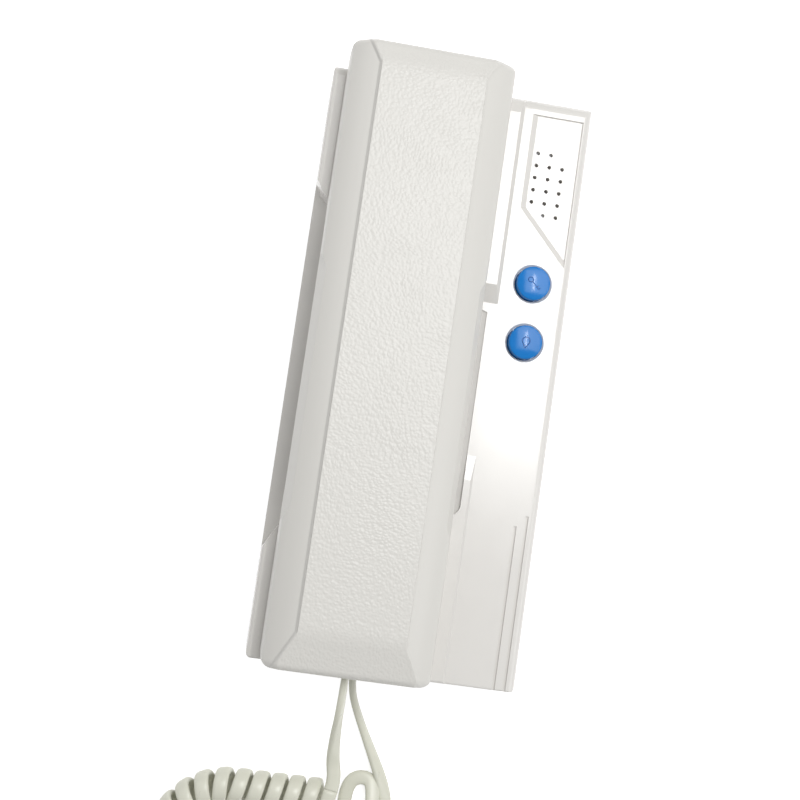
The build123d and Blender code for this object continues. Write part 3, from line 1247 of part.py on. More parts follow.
def make_handset_back_shell():
    """Back shell of the handset: grip's back, ends and the two cups with their sound holes."""
    shell = handset_form(0) - (handset_form(HANDSET_WALL) & upper_half(GRIP_BACK_Z))
    shell = shell & lower_half(HANDSET_PART_Z)
    for cup_y in (EAR_CUP_Y, MOUTH_CUP_Y):
        shell += cup(cup_y, 0, CUP_BOTTOM_Z, END_BACK_Z + HANDSET_WALL / 4)
    above_ends = upper_half(END_BACK_Z + HANDSET_WALL)
    grip = box(-BASE_LENGTH, BASE_LENGTH, GRIP_LOW_Y - GRIP_SLOPE_RUN, GRIP_TOP_Y + GRIP_SLOPE_RUN,
               0, BASE_LENGTH)
    hollow = handset_form(HANDSET_WALL) & (above_ends - grip)
    shell -= hollow
    for cup_y in (EAR_CUP_Y, MOUTH_CUP_Y):
        shell -= cup(cup_y, -CUP_WALL, CUP_BOTTOM_Z + CUP_WALL, END_BACK_Z + HANDSET_WALL + 1)
    for hole in cup_holes(EAR_CUP_Y, EAR_RING_R, EAR_RING_COUNT):
        shell -= hole
    for hole in cup_holes(MOUTH_CUP_Y, MOUTH_RING_R, MOUTH_RING_COUNT):
        shell -= hole
    for y in HANDSET_SCREW_Y:
        sink = SCREW_SINK_CLEARANCE
        shell -= rod(HANDSET_X, y, GRIP_BACK_Z - 1, screw_seat_z(), HANDSET_SCREW_HEAD_R + sink)
        shell -= rod(HANDSET_X, y, GRIP_BACK_Z - 1, HANDSET_PART_Z + 1, HANDSET_SCREW_R + sink)
    slot = grommet_slot(HANDSET_EXIT[0], HANDSET_LOW_Y, HANDSET_EXIT[1], HANDSET_WALL)
    return shell - slot


def make_handset_screws():
    """Two screws that hold the handset's shells together."""
    return Compound([
        screw(HANDSET_X, y, screw_seat_z(), HANDSET_SCREW_HEAD_H, HANDSET_SCREW_HEAD_R, HANDSET_SCREW_R,
              HANDSET_SCREW_LENGTH - HANDSET_SCREW_TIP_GAP, True)
        for y in HANDSET_SCREW_Y])


def ear_y():
    """Middle of the earpiece cup."""
    return (EAR_CUP_Y[0] + EAR_CUP_Y[1]) / 2


def mouth_y():
    """Middle of the mouthpiece cup."""
    return (MOUTH_CUP_Y[0] + MOUTH_CUP_Y[1]) / 2


def make_earpiece_gasket():
    """Foam ring between the cup's floor and the earpiece capsule."""
    floor = CUP_BOTTOM_Z + CUP_WALL
    ring = rod(HANDSET_X, ear_y(), floor, floor + GASKET_T, EARPIECE_R)
    return ring - rod(HANDSET_X, ear_y(), floor - 1, floor + GASKET_T + 1, EARPIECE_R - GASKET_RING_WIDTH)


def make_earpiece_speaker():
    """Earpiece capsule: rim with a dished front, and a magnet behind."""
    front = CUP_BOTTOM_Z + CUP_WALL + GASKET_T
    back = front + EARPIECE_RIM_H
    capsule = rod(HANDSET_X, ear_y(), front, back, EARPIECE_R)
    magnet_r = EARPIECE_R - EARPIECE_MAGNET_STEP
    capsule += rod(HANDSET_X, ear_y(), back, back + EARPIECE_MAGNET_H, magnet_r)
    return capsule - rod(HANDSET_X, ear_y(), front - 1, front + EARPIECE_DISH, EARPIECE_DIAPHRAGM_R)


def make_earpiece_diaphragm():
    """Diaphragm at the bottom of the earpiece's dish."""
    back = CUP_BOTTOM_Z + CUP_WALL + GASKET_T + EARPIECE_DISH
    return rod(HANDSET_X, ear_y(), back - EARPIECE_DIAPHRAGM_T, back, EARPIECE_DIAPHRAGM_R)


def make_microphone_boot():
    """Rubber boot that holds the microphone over the sound holes."""
    floor = CUP_BOTTOM_Z + CUP_WALL
    boot = rod(HANDSET_X, mouth_y(), floor, floor + BOOT_H, MIC_R + BOOT_WALL)
    boot -= rod(HANDSET_X, mouth_y(), floor + BOOT_H - MIC_H, floor + BOOT_H + 1, MIC_R)
    return boot - rod(HANDSET_X, mouth_y(), floor - 1, floor + BOOT_H, MIC_R - BOOT_LEDGE)


def make_microphone():
    """Round microphone capsule in its boot."""
    top = CUP_BOTTOM_Z + CUP_WALL + BOOT_H
    return rod(HANDSET_X, mouth_y(), top - MIC_H, top, MIC_R)


def make_ballast():
    """Steel weight lying in the grip."""
    end_gap = HANDSET_BOSS_R + BALLAST_END_GAP
    half = BALLAST_WIDTH / 2
    return box(HANDSET_X - half, HANDSET_X + half, HANDSET_SCREW_Y[1] + end_gap, HANDSET_SCREW_Y[0] - end_gap,
               HANDSET_PART_Z, HANDSET_PART_Z + BALLAST_HEIGHT)


def curl_axis(distance):
    """Point and heading of the curly cord's middle line: a run to the left, half a ring, a run back."""
    x0, y0 = CURL_START
    arc = math.pi * CURL_BEND_R
    if distance < CURL_FIRST_RUN:
        return Vector(x0 - distance, y0, CURL_AXIS_Z), math.pi
    if distance < CURL_FIRST_RUN + arc:
        turned = (distance - CURL_FIRST_RUN) / CURL_BEND_R
        x = x0 - CURL_FIRST_RUN - CURL_BEND_R * math.sin(turned)
        y = y0 - CURL_BEND_R * (1 - math.cos(turned))
        return Vector(x, y, CURL_AXIS_Z), math.pi + turned
    rest = distance - CURL_FIRST_RUN - arc
    return Vector(x0 - CURL_FIRST_RUN + rest, y0 - 2 * CURL_BEND_R, CURL_AXIS_Z), 2 * math.pi


def curl_point(turn):
    """Point of the curly cord after a number of turns, starting on top of the curls."""
    length = CURL_FIRST_RUN + math.pi * CURL_BEND_R + CURL_SECOND_RUN
    centre, heading = curl_axis(length * turn / CURL_COUNT)
    angle = 2 * math.pi * turn
    side = Vector(-math.sin(heading), math.cos(heading), 0)
    rise = Vector(0, 0, CURL_MEAN_R * math.cos(angle))
    return centre + side * (CURL_MEAN_R * math.sin(angle)) + rise


def make_curly_cord():
    """Curls as one unbroken tube, its ends straight and square to the two leads."""
    return wound_tube(curl_point, CURL_COUNT, CURL_WIRE_R, CURL_END_STRAIGHT)


def curl_end(turn, side):
    """Open end of the curls at their first or last turn, and the direction out of it."""
    nudge = 1e-4
    out = (curl_point(turn + nudge) - curl_point(turn - nudge)).normalized() * side
    return curl_point(turn) + out * CURL_END_STRAIGHT, out


def lead_route(exit_point, points, turn, side):
    """Points of a lead from its grommet's face to the curls, its last run in line with their end."""
    end, out = curl_end(turn, side)
    before = end + out * CURL_JOIN_RUN
    return [exit_point, *points, tuple(before), tuple(end)]


def base_lead_route():
    """Points of the lead between the base and the curls."""
    start = (BASE_EXIT[0], -TOP, BASE_EXIT[1])
    return lead_route(start, BASE_LEAD_POINTS, CURL_COUNT, 1)


def handset_lead_route():
    """Points of the lead between the handset and the curls."""
    start = (HANDSET_EXIT[0], HANDSET_LOW_Y, HANDSET_EXIT[1])
    return lead_route(start, HANDSET_LEAD_POINTS, 0, -1)


def lead_radii(points):
    """Radius for each inner point: as large as its two runs allow."""
    radii = []
    for before, here, after in zip(points, points[1:], points[2:]):
        run_in = Vector(*here) - Vector(*before)
        run_out = Vector(*after) - Vector(*here)
        half_turn = math.radians(run_in.get_angle(run_out)) / 2
        radii.append(0.45 * min(run_in.length, run_out.length) / math.tan(half_turn))
    return radii


def make_lead(points, name):
    """Tube along one free stretch of the cord, in straight runs joined by tangent arcs."""
    radii = lead_radii(points)
    path = FilletPolyline(*points, radius=radii)
    direction = Vector(*points[1]) - Vector(*points[0])
    section = Plane(origin=points[0], z_dir=direction) * Circle(LEAD_R)
    tube = sweep(section, path=path)
    expected = math.pi * LEAD_R ** 2 * path.length
    print(name, "length", round(path.length, 1), "radii", [round(radius, 1) for radius in radii],
          "volume share", round(tube.volume / expected, 4))
    return tube


def least_curl_gap():
    """Least distance between neighbouring turns, less the tube's thickness."""
    steps = 48
    points = [curl_point(index / steps) for index in range(CURL_COUNT * steps + 1)]
    least = 1e9
    for index, here in enumerate(points):
        first = index + steps // 2
        for there in points[first:index + 2 * steps]:
            least = min(least, (there - here).length)
    return least - 2 * CURL_WIRE_R


def parts():
    """Every node of the object, by name."""
    return {
        "back_plate": make_back_plate(),
        "front_cover": make_front_cover(),
        "cover_screws": make_cover_screws(),
        "circuit_board": make_board(),
        "board_screws": make_board_screws(),
        "terminal_block": make_terminal_block(),
        "terminal_screws": make_terminal_screws(),
        "capacitors": make_capacitors(),
        "control_chip": make_chip(),
        "cord_connector": make_connector(),
        "button_switches": make_button_switches(),
        "call_speaker": make_call_speaker(),
        "call_speaker_cone": make_call_speaker_cone(),
        "speaker_clamp": make_speaker_clamp(),
        "speaker_clamp_screws": make_speaker_clamp_screws(),
        "hook_bracket": make_hook_bracket(),
        "hook_pin": make_hook_pin(),
        "hook_spring": make_hook_spring(),
        "hook_switch": make_hook_switch(),
        "hook_lever": make_hook_lever(),
        "unlock_button": make_button(UNLOCK_Y),
        "unlock_spring": make_button_spring(UNLOCK_Y),
        "call_button": make_button(CALL_Y),
        "call_spring": make_button_spring(CALL_Y),
        "base_cord_grommet": grommet(BASE_EXIT[0], -TOP, BASE_EXIT[1], BASE_WALL),
        "base_lead": make_lead(base_lead_route(), "base_lead"),
        "curly_cord": make_curly_cord(),
        "handset_lead": make_lead(handset_lead_route(), "handset_lead"),
        "handset_front_shell": make_handset_front_shell(),
        "handset_back_shell": make_handset_back_shell(),
        "handset_screws": make_handset_screws(),
        "earpiece_gasket": make_earpiece_gasket(),
        "earpiece_speaker": make_earpiece_speaker(),
        "earpiece_diaphragm": make_earpiece_diaphragm(),
        "microphone_boot": make_microphone_boot(),
        "microphone": make_microphone(),
        "ballast_weight": make_ballast(),
        "handset_cord_grommet": grommet(HANDSET_EXIT[0], HANDSET_LOW_Y, HANDSET_EXIT[1], HANDSET_WALL),
    }


os.makedirs("parts", exist_ok=True)
print("least gap between curls", round(least_curl_gap(), 2))
for node, shape in parts().items():
    export_step(shape, f"parts/{node}.step")
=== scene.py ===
"""Looks of a corded building intercom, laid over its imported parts.

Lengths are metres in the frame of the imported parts: the origin is the middle of the base's rear
face, +X runs to the right of the face, +Y towards the earpiece end, and +Z out of the face.
"""
from __future__ import annotations

import logging
import math
from dataclasses import dataclass
from enum import Enum

import bpy
import numpy as np
from mathutils import Matrix, Quaternion, Vector


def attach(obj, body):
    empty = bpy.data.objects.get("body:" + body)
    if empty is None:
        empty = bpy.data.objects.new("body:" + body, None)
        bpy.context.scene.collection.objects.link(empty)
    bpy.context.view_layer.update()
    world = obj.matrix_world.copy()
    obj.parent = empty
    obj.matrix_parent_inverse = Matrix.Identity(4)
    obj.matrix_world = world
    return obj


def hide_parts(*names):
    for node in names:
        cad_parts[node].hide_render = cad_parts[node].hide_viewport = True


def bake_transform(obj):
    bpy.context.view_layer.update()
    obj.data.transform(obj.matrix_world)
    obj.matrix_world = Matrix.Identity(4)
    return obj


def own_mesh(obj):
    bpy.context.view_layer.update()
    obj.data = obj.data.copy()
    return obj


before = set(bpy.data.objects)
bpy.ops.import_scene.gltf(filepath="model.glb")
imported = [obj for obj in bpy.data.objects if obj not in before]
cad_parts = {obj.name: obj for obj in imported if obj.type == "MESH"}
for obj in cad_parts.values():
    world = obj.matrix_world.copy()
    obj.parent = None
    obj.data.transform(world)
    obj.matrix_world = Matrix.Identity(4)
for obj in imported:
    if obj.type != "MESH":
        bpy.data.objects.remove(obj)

logging.basicConfig(level=logging.INFO, format="%(message)s")
LOG = logging.getLogger("intercom")
Socket = bpy.types.NodeSocket
Triple = tuple[float, float, float]
MM = 0.001
WHITE = (1.0, 1.0, 1.0, 1.0)
NO_STRETCH = (1.0, 1.0, 1.0)
# Nearly all values of a noise texture lie between these two.
NOISE_LOW, NOISE_HIGH = 0.3, 0.7
# Places of the colour sockets among the inputs and outputs of a Mix node.
MIX_FIRST, MIX_SECOND, MIX_RESULT = 6, 7, 2
# Points that draw a circle or an arc of a button's sign.
ARC_POINTS = 25


class Body(Enum):
    """Bodies that the scene's own pieces ride on."""

    BASE = "base"
    HANDSET = "handset"
    UPPER_BUTTON = "unlock_button"
    LOWER_BUTTON = "call_button"


class Recipe:
    """One material while its nodes are being wired."""

    def __init__(self, name: str) -> None:
        """Start a material with its Principled shader.

        Args:
            name: Name of the material.
        """
        self.material = bpy.data.materials.new(name)
        self.material.use_nodes = True
        self.tree = self.material.node_tree
        self.shader = self.tree.nodes["Principled BSDF"]

    def node(self, kind: str, **inputs: object) -> bpy.types.Node:
        """Add a node and set or link its inputs.

        Args:
            kind: Node type without its ShaderNode prefix.
            **inputs: Input sockets by name, underscores standing for spaces. A socket is linked and
                anything else is set as the value.

        Returns:
            The new node.
        """
        made = self.tree.nodes.new("ShaderNode" + kind)
        for name, value in inputs.items():
            self.feed(made.inputs[name.replace("_", " ")], value)
        return made

    def shade(self, **inputs: object) -> None:
        """Set or link inputs of the shader, given as for a node."""
        for name, value in inputs.items():
            self.feed(self.shader.inputs[name.replace("_", " ")], value)

    def feed(self, socket: Socket, value: object) -> None:
        """Link a socket to another, or set its value."""
        if isinstance(value, Socket):
            self.tree.links.new(value, socket)
        else:
            socket.default_value = value

    def place(self, stretch: Triple = NO_STRETCH) -> Socket:
        """Object coordinates, stretched per axis.

        Args:
            stretch: Factor on each axis.

        Returns:
            The mapped vector.
        """
        source = self.node("TexCoord").outputs["Object"]
        if stretch == NO_STRETCH:
            return source
        return self.node("Mapping", Vector=source, Scale=stretch).outputs["Vector"]

    def noise(self, vector: Socket, scale: float, detail: float = 3.0) -> Socket:
        """Soft noise between 0 and 1.

        Args:
            vector: Where the noise is read.
            scale: Waves per metre.
            detail: Octaves.

        Returns:
            The noise value.
        """
        made = self.node("TexNoise", Vector=vector, Scale=scale, Detail=detail, Roughness=0.5)
        return made.outputs["Fac"]

    def ramp(self, value: Socket, low: float, high: float, first: float, last: float,
             soft: bool = False) -> Socket:
        """Blend from one value to another while an input goes from low to high.

        Args:
            value: The input.
            low: Input at the first value.
            high: Input at the last value.
            first: Result at and before low.
            last: Result at and past high.
            soft: Whether the blend starts and ends gently.

        Returns:
            The result.
        """
        made = self.node("MapRange", Value=value, From_Min=low, From_Max=high, To_Min=first,
                         To_Max=last)
        made.interpolation_type = "SMOOTHSTEP" if soft else "LINEAR"
        return made.outputs["Result"]

    def spread(self, value: Socket, low: float, high: float) -> Socket:
        """Map a noise value onto a range.

        Args:
            value: The noise value.
            low: Result for the noise's low values.
            high: Result for its high values.

        Returns:
            The mapped value.
        """
        return self.ramp(value, NOISE_LOW, NOISE_HIGH, low, high)

    def math(self, operation: str, first: object, second: object = 0.0) -> Socket:
        """Combine two values by one operation.

        Args:
            operation: Name of the operation, such as MULTIPLY.
            first: First value or socket.
            second: Second value or socket.

        Returns:
            The result.
        """
        made = self.node("Math")
        made.operation = operation
        self.feed(made.inputs[0], first)
        self.feed(made.inputs[1], second)
        return made.outputs["Value"]

    def tint(self, share: Socket, first: Triple, second: Triple) -> Socket:
        """Blend two colours.

        Args:
            share: 0 gives the first colour and 1 the second.
            first: Red, green and blue of the first colour.
            second: Red, green and blue of the second colour.

        Returns:
            The blended colour.
        """
        made = self.node("Mix")
        made.data_type = "RGBA"
        self.feed(made.inputs["Factor"], share)
        self.feed(made.inputs[MIX_FIRST], (*first, 1.0))
        self.feed(made.inputs[MIX_SECOND], (*second, 1.0))
        return made.outputs[MIX_RESULT]

    def raise_by(self, height: Socket, depth: float, under: Socket | None = None) -> Socket:
        """Bump the surface.

        Args:
            height: Height field between 0 and 1.
            depth: Depth of the field in metres.
            under: Normal to build on, if any.

        Returns:
            The bumped normal.
        """
        made = self.node("Bump", Height=height, Strength=1.0, Distance=depth)
        if under is not None:
            self.feed(made.inputs["Normal"], under)
        return made.outputs["Normal"]


@dataclass(frozen=True)
class Finish:
    """Surface of one kind of material: colour, gloss, faint colour drift and a fine texture."""

    name: str
    slot: str
    color: Triple
    roughness: float = 0.4
    metallic: float = 0.0
    specular: float = 0.5
    coat: float = 0.0
    coat_roughness: float = 0.08
    drift: float = 0.03
    drift_scale: float = 60.0
    smudge: float = 0.05
    smudge_finer: float = 4.0
    smudge_detail: float = 5.0
    least_roughness: float = 0.02
    grain_scale: float = 900.0
    grain_detail: float = 2.0
    grain_depth: float = 0.00001
    grain_stretch: Triple = NO_STRETCH

    def material(self) -> bpy.types.Material:
        """Material of this finish, made once and then shared."""
        found = bpy.data.materials.get(self.name)
        return found if found else self.make()

    def make(self) -> bpy.types.Material:
        """Wire the material.

        Returns:
            The new material.
        """
        recipe = Recipe(self.name)
        self.set_gloss(recipe)
        place = recipe.place()
        dark = tuple(channel * (1.0 - self.drift) for channel in self.color)
        light = tuple(min(channel * (1.0 + self.drift), 1.0) for channel in self.color)
        drift = recipe.spread(recipe.noise(place, self.drift_scale), 0.0, 1.0)
        recipe.shade(Base_Color=recipe.tint(drift, dark, light))
        smudges = recipe.noise(place, self.drift_scale * self.smudge_finer, self.smudge_detail)
        low = max(self.roughness - self.smudge, self.least_roughness)
        recipe.shade(Roughness=recipe.spread(smudges, low, self.roughness + self.smudge))
        recipe.shade(Normal=self.texture(recipe))
        return recipe.material

    def set_gloss(self, recipe: Recipe) -> None:
        """Set the shader values that are the same all over."""
        recipe.shade(Metallic=self.metallic, Specular_IOR_Level=self.specular,
                     Coat_Weight=self.coat, Coat_Roughness=self.coat_roughness)

    def texture(self, recipe: Recipe) -> Socket:
        """Fine bumps of the surface."""
        place = recipe.place(self.grain_stretch)
        grain = recipe.noise(place, self.grain_scale, self.grain_detail)
        return recipe.raise_by(grain, self.grain_depth)


@dataclass(frozen=True)
class LeatherGrain(Finish):
    """White plastic whose raised front panel carries a fine leather grain."""

    middle_x: float = -13.7 * MM
    half_width: float = 18.75 * MM
    top_y: float = 114.0 * MM
    top_run: float = 9.0 * MM
    top_flare: float = 5.0 * MM
    top_share: float = 0.6
    low_y: float = -109.0 * MM
    low_run: float = 14.0 * MM
    low_flare: float = 7.2 * MM
    patch_scale: float = 45.0
    patch_detail: float = 1.0
    long_scale: float = 0.78
    bend_scale: float = 700.0
    bend_detail: float = 2.0
    bend_shift: float = 0.5 * MM
    cell_scale: float = 1020.0
    cell_softness: float = 0.35
    cell_depth: float = 0.00017
    crease_softness: float = 0.3 * MM
    edge_run: float = 1.2 * MM
    edge_depth: float = 0.5 * MM
    right_edge_share: float = 0.25

    def texture(self, recipe: Recipe) -> Socket:
        """Pebbled cells inside the panel, a rounded edge at its creases, and faint waves all over.

        The cells are drawn out sideways in some patches and lengthways in others.

        Returns:
            The bumped normal.
        """
        fine = super().texture(recipe)
        patches = recipe.noise(recipe.place(), self.patch_scale, self.patch_detail)
        patches = recipe.spread(patches, 0.0, 1.0)
        wide = self.cells(recipe, (self.long_scale, 1.0, 1.0))
        tall = self.cells(recipe, (1.0, self.long_scale, 1.0))
        blend = recipe.node("Mix", Factor=patches, A=wide, B=tall)
        inside, edge = self.masks(recipe)
        height = recipe.math("MULTIPLY", blend.outputs["Result"], inside)
        rounded = recipe.raise_by(edge, self.edge_depth, fine)
        return recipe.raise_by(height, self.cell_depth, rounded)

    def cells(self, recipe: Recipe, stretch: Triple) -> Socket:
        """Domed cells, bent by a soft noise.

        Args:
            recipe: Material being wired.
            stretch: Factor on each axis before the cells are drawn.

        Returns:
            Height between 0 and 1.
        """
        place = recipe.place(stretch)
        bend = recipe.node("TexNoise", Vector=place, Scale=self.bend_scale, Detail=self.bend_detail)
        shift = recipe.node("VectorMath", Vector=bend.outputs["Color"])
        shift.operation = "SCALE"
        recipe.feed(shift.inputs["Scale"], self.bend_shift)
        moved = recipe.node("VectorMath")
        moved.operation = "ADD"
        recipe.feed(moved.inputs[0], place)
        recipe.feed(moved.inputs[1], shift.outputs["Vector"])
        cells = recipe.node("TexVoronoi", Vector=moved.outputs["Vector"], Scale=self.cell_scale)
        cells.feature = "SMOOTH_F1"
        recipe.feed(cells.inputs["Smoothness"], self.cell_softness)
        return recipe.math("SUBTRACT", 1.0, cells.outputs["Distance"])

    def masks(self, recipe: Recipe) -> tuple[Socket, Socket]:
        """Share of the grain, and the height of the panel's rounded edge.

        The grain is 1 between the creases, 0 outside them, and less at the earpiece end. The edge
        falls from 1 to 0 over a short run outside each crease, and is lower at the right crease.

        Args:
            recipe: Material being wired.

        Returns:
            The grain's share and the edge's height.
        """
        split = recipe.node("SeparateXYZ", Vector=recipe.place())
        x, y = split.outputs["X"], split.outputs["Y"]
        low_bend, top_bend = self.low_y + self.low_run, self.top_y - self.top_run
        flare = recipe.math("ADD", recipe.ramp(y, low_bend, self.low_y, 0.0, self.low_flare),
                            recipe.ramp(y, top_bend, self.top_y, 0.0, self.top_flare))
        offset = recipe.math("ABSOLUTE", recipe.math("SUBTRACT", x, self.middle_x))
        offset = recipe.math("SUBTRACT", offset, flare)
        crease, soft = self.half_width, self.crease_softness
        inside = recipe.ramp(offset, crease - soft, crease + soft, 1.0, 0.0, True)
        faded = recipe.ramp(y, top_bend, self.top_y, 1.0, self.top_share, True)
        edge = recipe.ramp(offset, crease, crease + self.edge_run, 1.0, 0.0, True)
        left, right = self.middle_x - crease, self.middle_x + crease
        weaker = recipe.ramp(x, left, right, 1.0, self.right_edge_share)
        return recipe.math("MULTIPLY", inside, faded), recipe.math("MULTIPLY", edge, weaker)


@dataclass(frozen=True)
class SolderMask(Finish):
    """Green board lacquer with pale tracks showing through."""

    track_color: Triple = (0.10, 0.42, 0.20)
    track_low: float = 0.72
    track_high: float = 0.80
    track_height: float = 0.00003
    wave_scale: float = 110.0
    wave_bend: float = 14.0
    wave_bend_scale: float = 0.25
    gloss_scale: float = 300.0
    gloss_drift: float = 0.06

    def make(self) -> bpy.types.Material:
        """Wire the board: bands of a bent wave read as tracks under the lacquer.

        Returns:
            The new material.
        """
        recipe = Recipe(self.name)
        self.set_gloss(recipe)
        place = recipe.place()
        wave = recipe.node("TexWave", Vector=place, Scale=self.wave_scale,
                           Distortion=self.wave_bend, Detail=0.0, Detail_Scale=self.wave_bend_scale)
        track = recipe.ramp(wave.outputs["Fac"], self.track_low, self.track_high, 0.0, 1.0)
        recipe.shade(Base_Color=recipe.tint(track, self.color, self.track_color))
        low, high = self.roughness - self.gloss_drift, self.roughness + self.gloss_drift
        recipe.shade(Roughness=recipe.spread(recipe.noise(place, self.gloss_scale), low, high))
        recipe.shade(Normal=recipe.raise_by(track, self.track_height))
        return recipe.material


class Finishes:
    """Every finish of the object."""

    COVER = Finish("cover_gloss_white", "base_shell", (0.775, 0.757, 0.725), roughness=0.17,
                   specular=0.6, drift=0.008, drift_scale=25.0, smudge=0.03, grain_scale=260.0,
                   grain_depth=0.000006)
    PLATE = Finish("plate_satin_white", "wall_plate", (0.76, 0.76, 0.75), roughness=0.45,
                   grain_scale=1500.0)
    SHELL = LeatherGrain("handset_grained_white", "handset_shell", (0.722, 0.709, 0.672),
                         roughness=0.34, specular=0.40, drift=0.004, drift_scale=30.0,
                         smudge=0.015, grain_scale=700.0, grain_depth=0.000006)
    BACK = Finish("handset_satin_white", "handset_shell", (0.722, 0.709, 0.672), roughness=0.36,
                  specular=0.40, drift=0.004, smudge=0.015, grain_scale=700.0,
                  grain_depth=0.000006)
    BUTTON = Finish("button_gloss_blue", "button", (0.006, 0.19, 0.58), roughness=0.14,
                    specular=0.32, drift=0.04, smudge=0.02, grain_scale=500.0,
                    grain_depth=0.000006)
    MARK = Finish("button_mark_blue", "button", (0.015, 0.10, 0.36), roughness=0.30,
                  specular=0.3, drift=0.05, grain_scale=500.0, grain_depth=0.00001)
    CORD = Finish("cord_soft_vinyl", "cord", (0.73, 0.73, 0.625), roughness=0.30, specular=0.5,
                  drift=0.02, drift_scale=90.0, smudge=0.03, grain_scale=1300.0,
                  grain_depth=0.000006)
    GROMMET = Finish("grommet_vinyl", "grommet", (0.62, 0.63, 0.61), roughness=0.5)
    BOARD = SolderMask("board_green_lacquer", "board", (0.015, 0.15, 0.045), roughness=0.3)
    STEEL = Finish("screw_zinc", "steel", (0.62, 0.62, 0.62), roughness=0.28, metallic=1.0,
                   drift=0.08, grain_scale=1400.0, grain_stretch=(6.0, 1.0, 1.0))
    WIRE = Finish("spring_wire", "spring_steel", (0.5, 0.5, 0.52), roughness=0.22,
                  metallic=1.0, drift=0.06, grain_scale=2500.0)
    TERMINAL = Finish("terminal_blue", "terminal", (0.05, 0.17, 0.38), roughness=0.42)
    BLACK = Finish("part_black", "black_plastic", (0.02, 0.02, 0.022), roughness=0.5, drift=0.2)
    NYLON = Finish("connector_nylon", "connector", (0.72, 0.69, 0.60), roughness=0.45)
    CAN = Finish("capacitor_sleeve", "can", (0.02, 0.025, 0.09), roughness=0.25, coat=0.3,
                 drift=0.1)
    SPEAKER = Finish("speaker_plated", "speaker_metal", (0.45, 0.46, 0.48), roughness=0.32,
                     metallic=1.0, drift=0.08, grain_scale=1600.0)
    PAPER = Finish("cone_pressed_paper", "paper", (0.62, 0.61, 0.59), roughness=0.9, drift=0.12,
                   drift_scale=900.0, grain_scale=2600.0, grain_depth=0.00005)
    MEMBRANE = Finish("diaphragm_film", "membrane", (0.55, 0.52, 0.42), roughness=0.2, drift=0.05)
    FOAM = Finish("gasket_foam", "foam", (0.02, 0.02, 0.02), roughness=0.95, drift=0.4,
                  drift_scale=2500.0, grain_scale=3000.0, grain_depth=0.0002)
    BOOT = Finish("boot_rubber", "rubber_boot", (0.015, 0.015, 0.015), roughness=0.6, drift=0.2)
    LEVER = Finish("lever_acetal", "lever", (0.68, 0.68, 0.65), roughness=0.35)
    WEIGHT = Finish("ballast_dull_steel", "ballast", (0.20, 0.20, 0.21), roughness=0.5,
                    metallic=1.0, drift=0.15, grain_scale=1200.0, grain_depth=0.00004)


def grid_mesh(name: str, points: np.ndarray, wrap: bool) -> bpy.types.Mesh:
    """Mesh over a grid of points, one quad between each four neighbours.

    Args:
        name: Name of the mesh.
        points: Array of rows by columns by 3.
        wrap: Whether the last column joins the first.

    Returns:
        The mesh, smooth shaded. When wrapped, its first and last rows are closed by one face each.
    """
    rows, columns = points.shape[:2]
    last = columns if wrap else columns - 1
    index = np.arange(rows * columns).reshape(rows, columns)
    here, after = index[:, :last], np.roll(index, -1, axis=1)[:, :last]
    quads = np.stack([here[:-1], after[:-1], after[1:], here[1:]], axis=-1)
    faces = quads.reshape(-1, 4).tolist()
    if wrap:
        faces += [index[0][::-1].tolist(), index[-1].tolist()]
    mesh = bpy.data.meshes.new(name)
    mesh.from_pydata(points.reshape(-1, 3), [], faces)
    mesh.polygons.foreach_set("use_smooth", np.ones(len(faces), dtype=bool))
    mesh.update()
    return mesh


def add_piece(name: str, data: bpy.types.Mesh | bpy.types.Curve,
              finish: Finish) -> bpy.types.Object:
    """Put a mesh or a curve into the scene with its finish.

    Args:
        name: Name of the piece.
        data: Its mesh or curve, already in place.
        finish: Its finish.

    Returns:
        The new object.
    """
    piece = bpy.data.objects.new(name, data)
    bpy.context.scene.collection.objects.link(piece)
    data.materials.append(finish.material())
    LOG.info("%s: %s", name, finish.name)
    return piece


def weighted(points: np.ndarray) -> np.ndarray:
    """Control points in one flat row, each followed by the weight 1."""
    return np.hstack([points, np.ones((len(points), 1))]).ravel()


def respread(rows: np.ndarray, count: int) -> np.ndarray:
    """Read rows at evenly spread stations, each blended straight from its two neighbours.

    Args:
        rows: Rows of three numbers.
        count: Number of stations.

    Returns:
        One row for each station.
    """
    stations = np.linspace(0.0, len(rows) - 1.0, count)
    known = np.arange(len(rows))
    return np.stack([np.interp(stations, known, rows[:, axis]) for axis in range(3)], axis=1)


def route_length(route: np.ndarray) -> float:
    """Sum of the distances between neighbouring points of a route."""
    return float(np.linalg.norm(np.diff(route, axis=0), axis=1).sum())


@dataclass(frozen=True)
class Lamp:
    """Soft rectangular lamp that faces the object, its sides in metres and its power in watts."""

    name: str
    place: Triple
    sides: tuple[float, float]
    power: float

    def build(self) -> None:
        """Make the lamp, with its second side running along the object."""
        data = bpy.data.lights.new(self.name, "AREA")
        data.shape = "RECTANGLE"
        data.size, data.size_y = self.sides
        data.energy = self.power
        lamp = bpy.data.objects.new(self.name, data)
        back = Vector(self.place).normalized()
        side = Vector((0.0, 1.0, 0.0)).cross(back).normalized()
        turn = Matrix((side, back.cross(side), back)).transposed()
        lamp.matrix_world = Matrix.Translation(self.place) @ turn.to_4x4()
        bpy.context.scene.collection.objects.link(lamp)


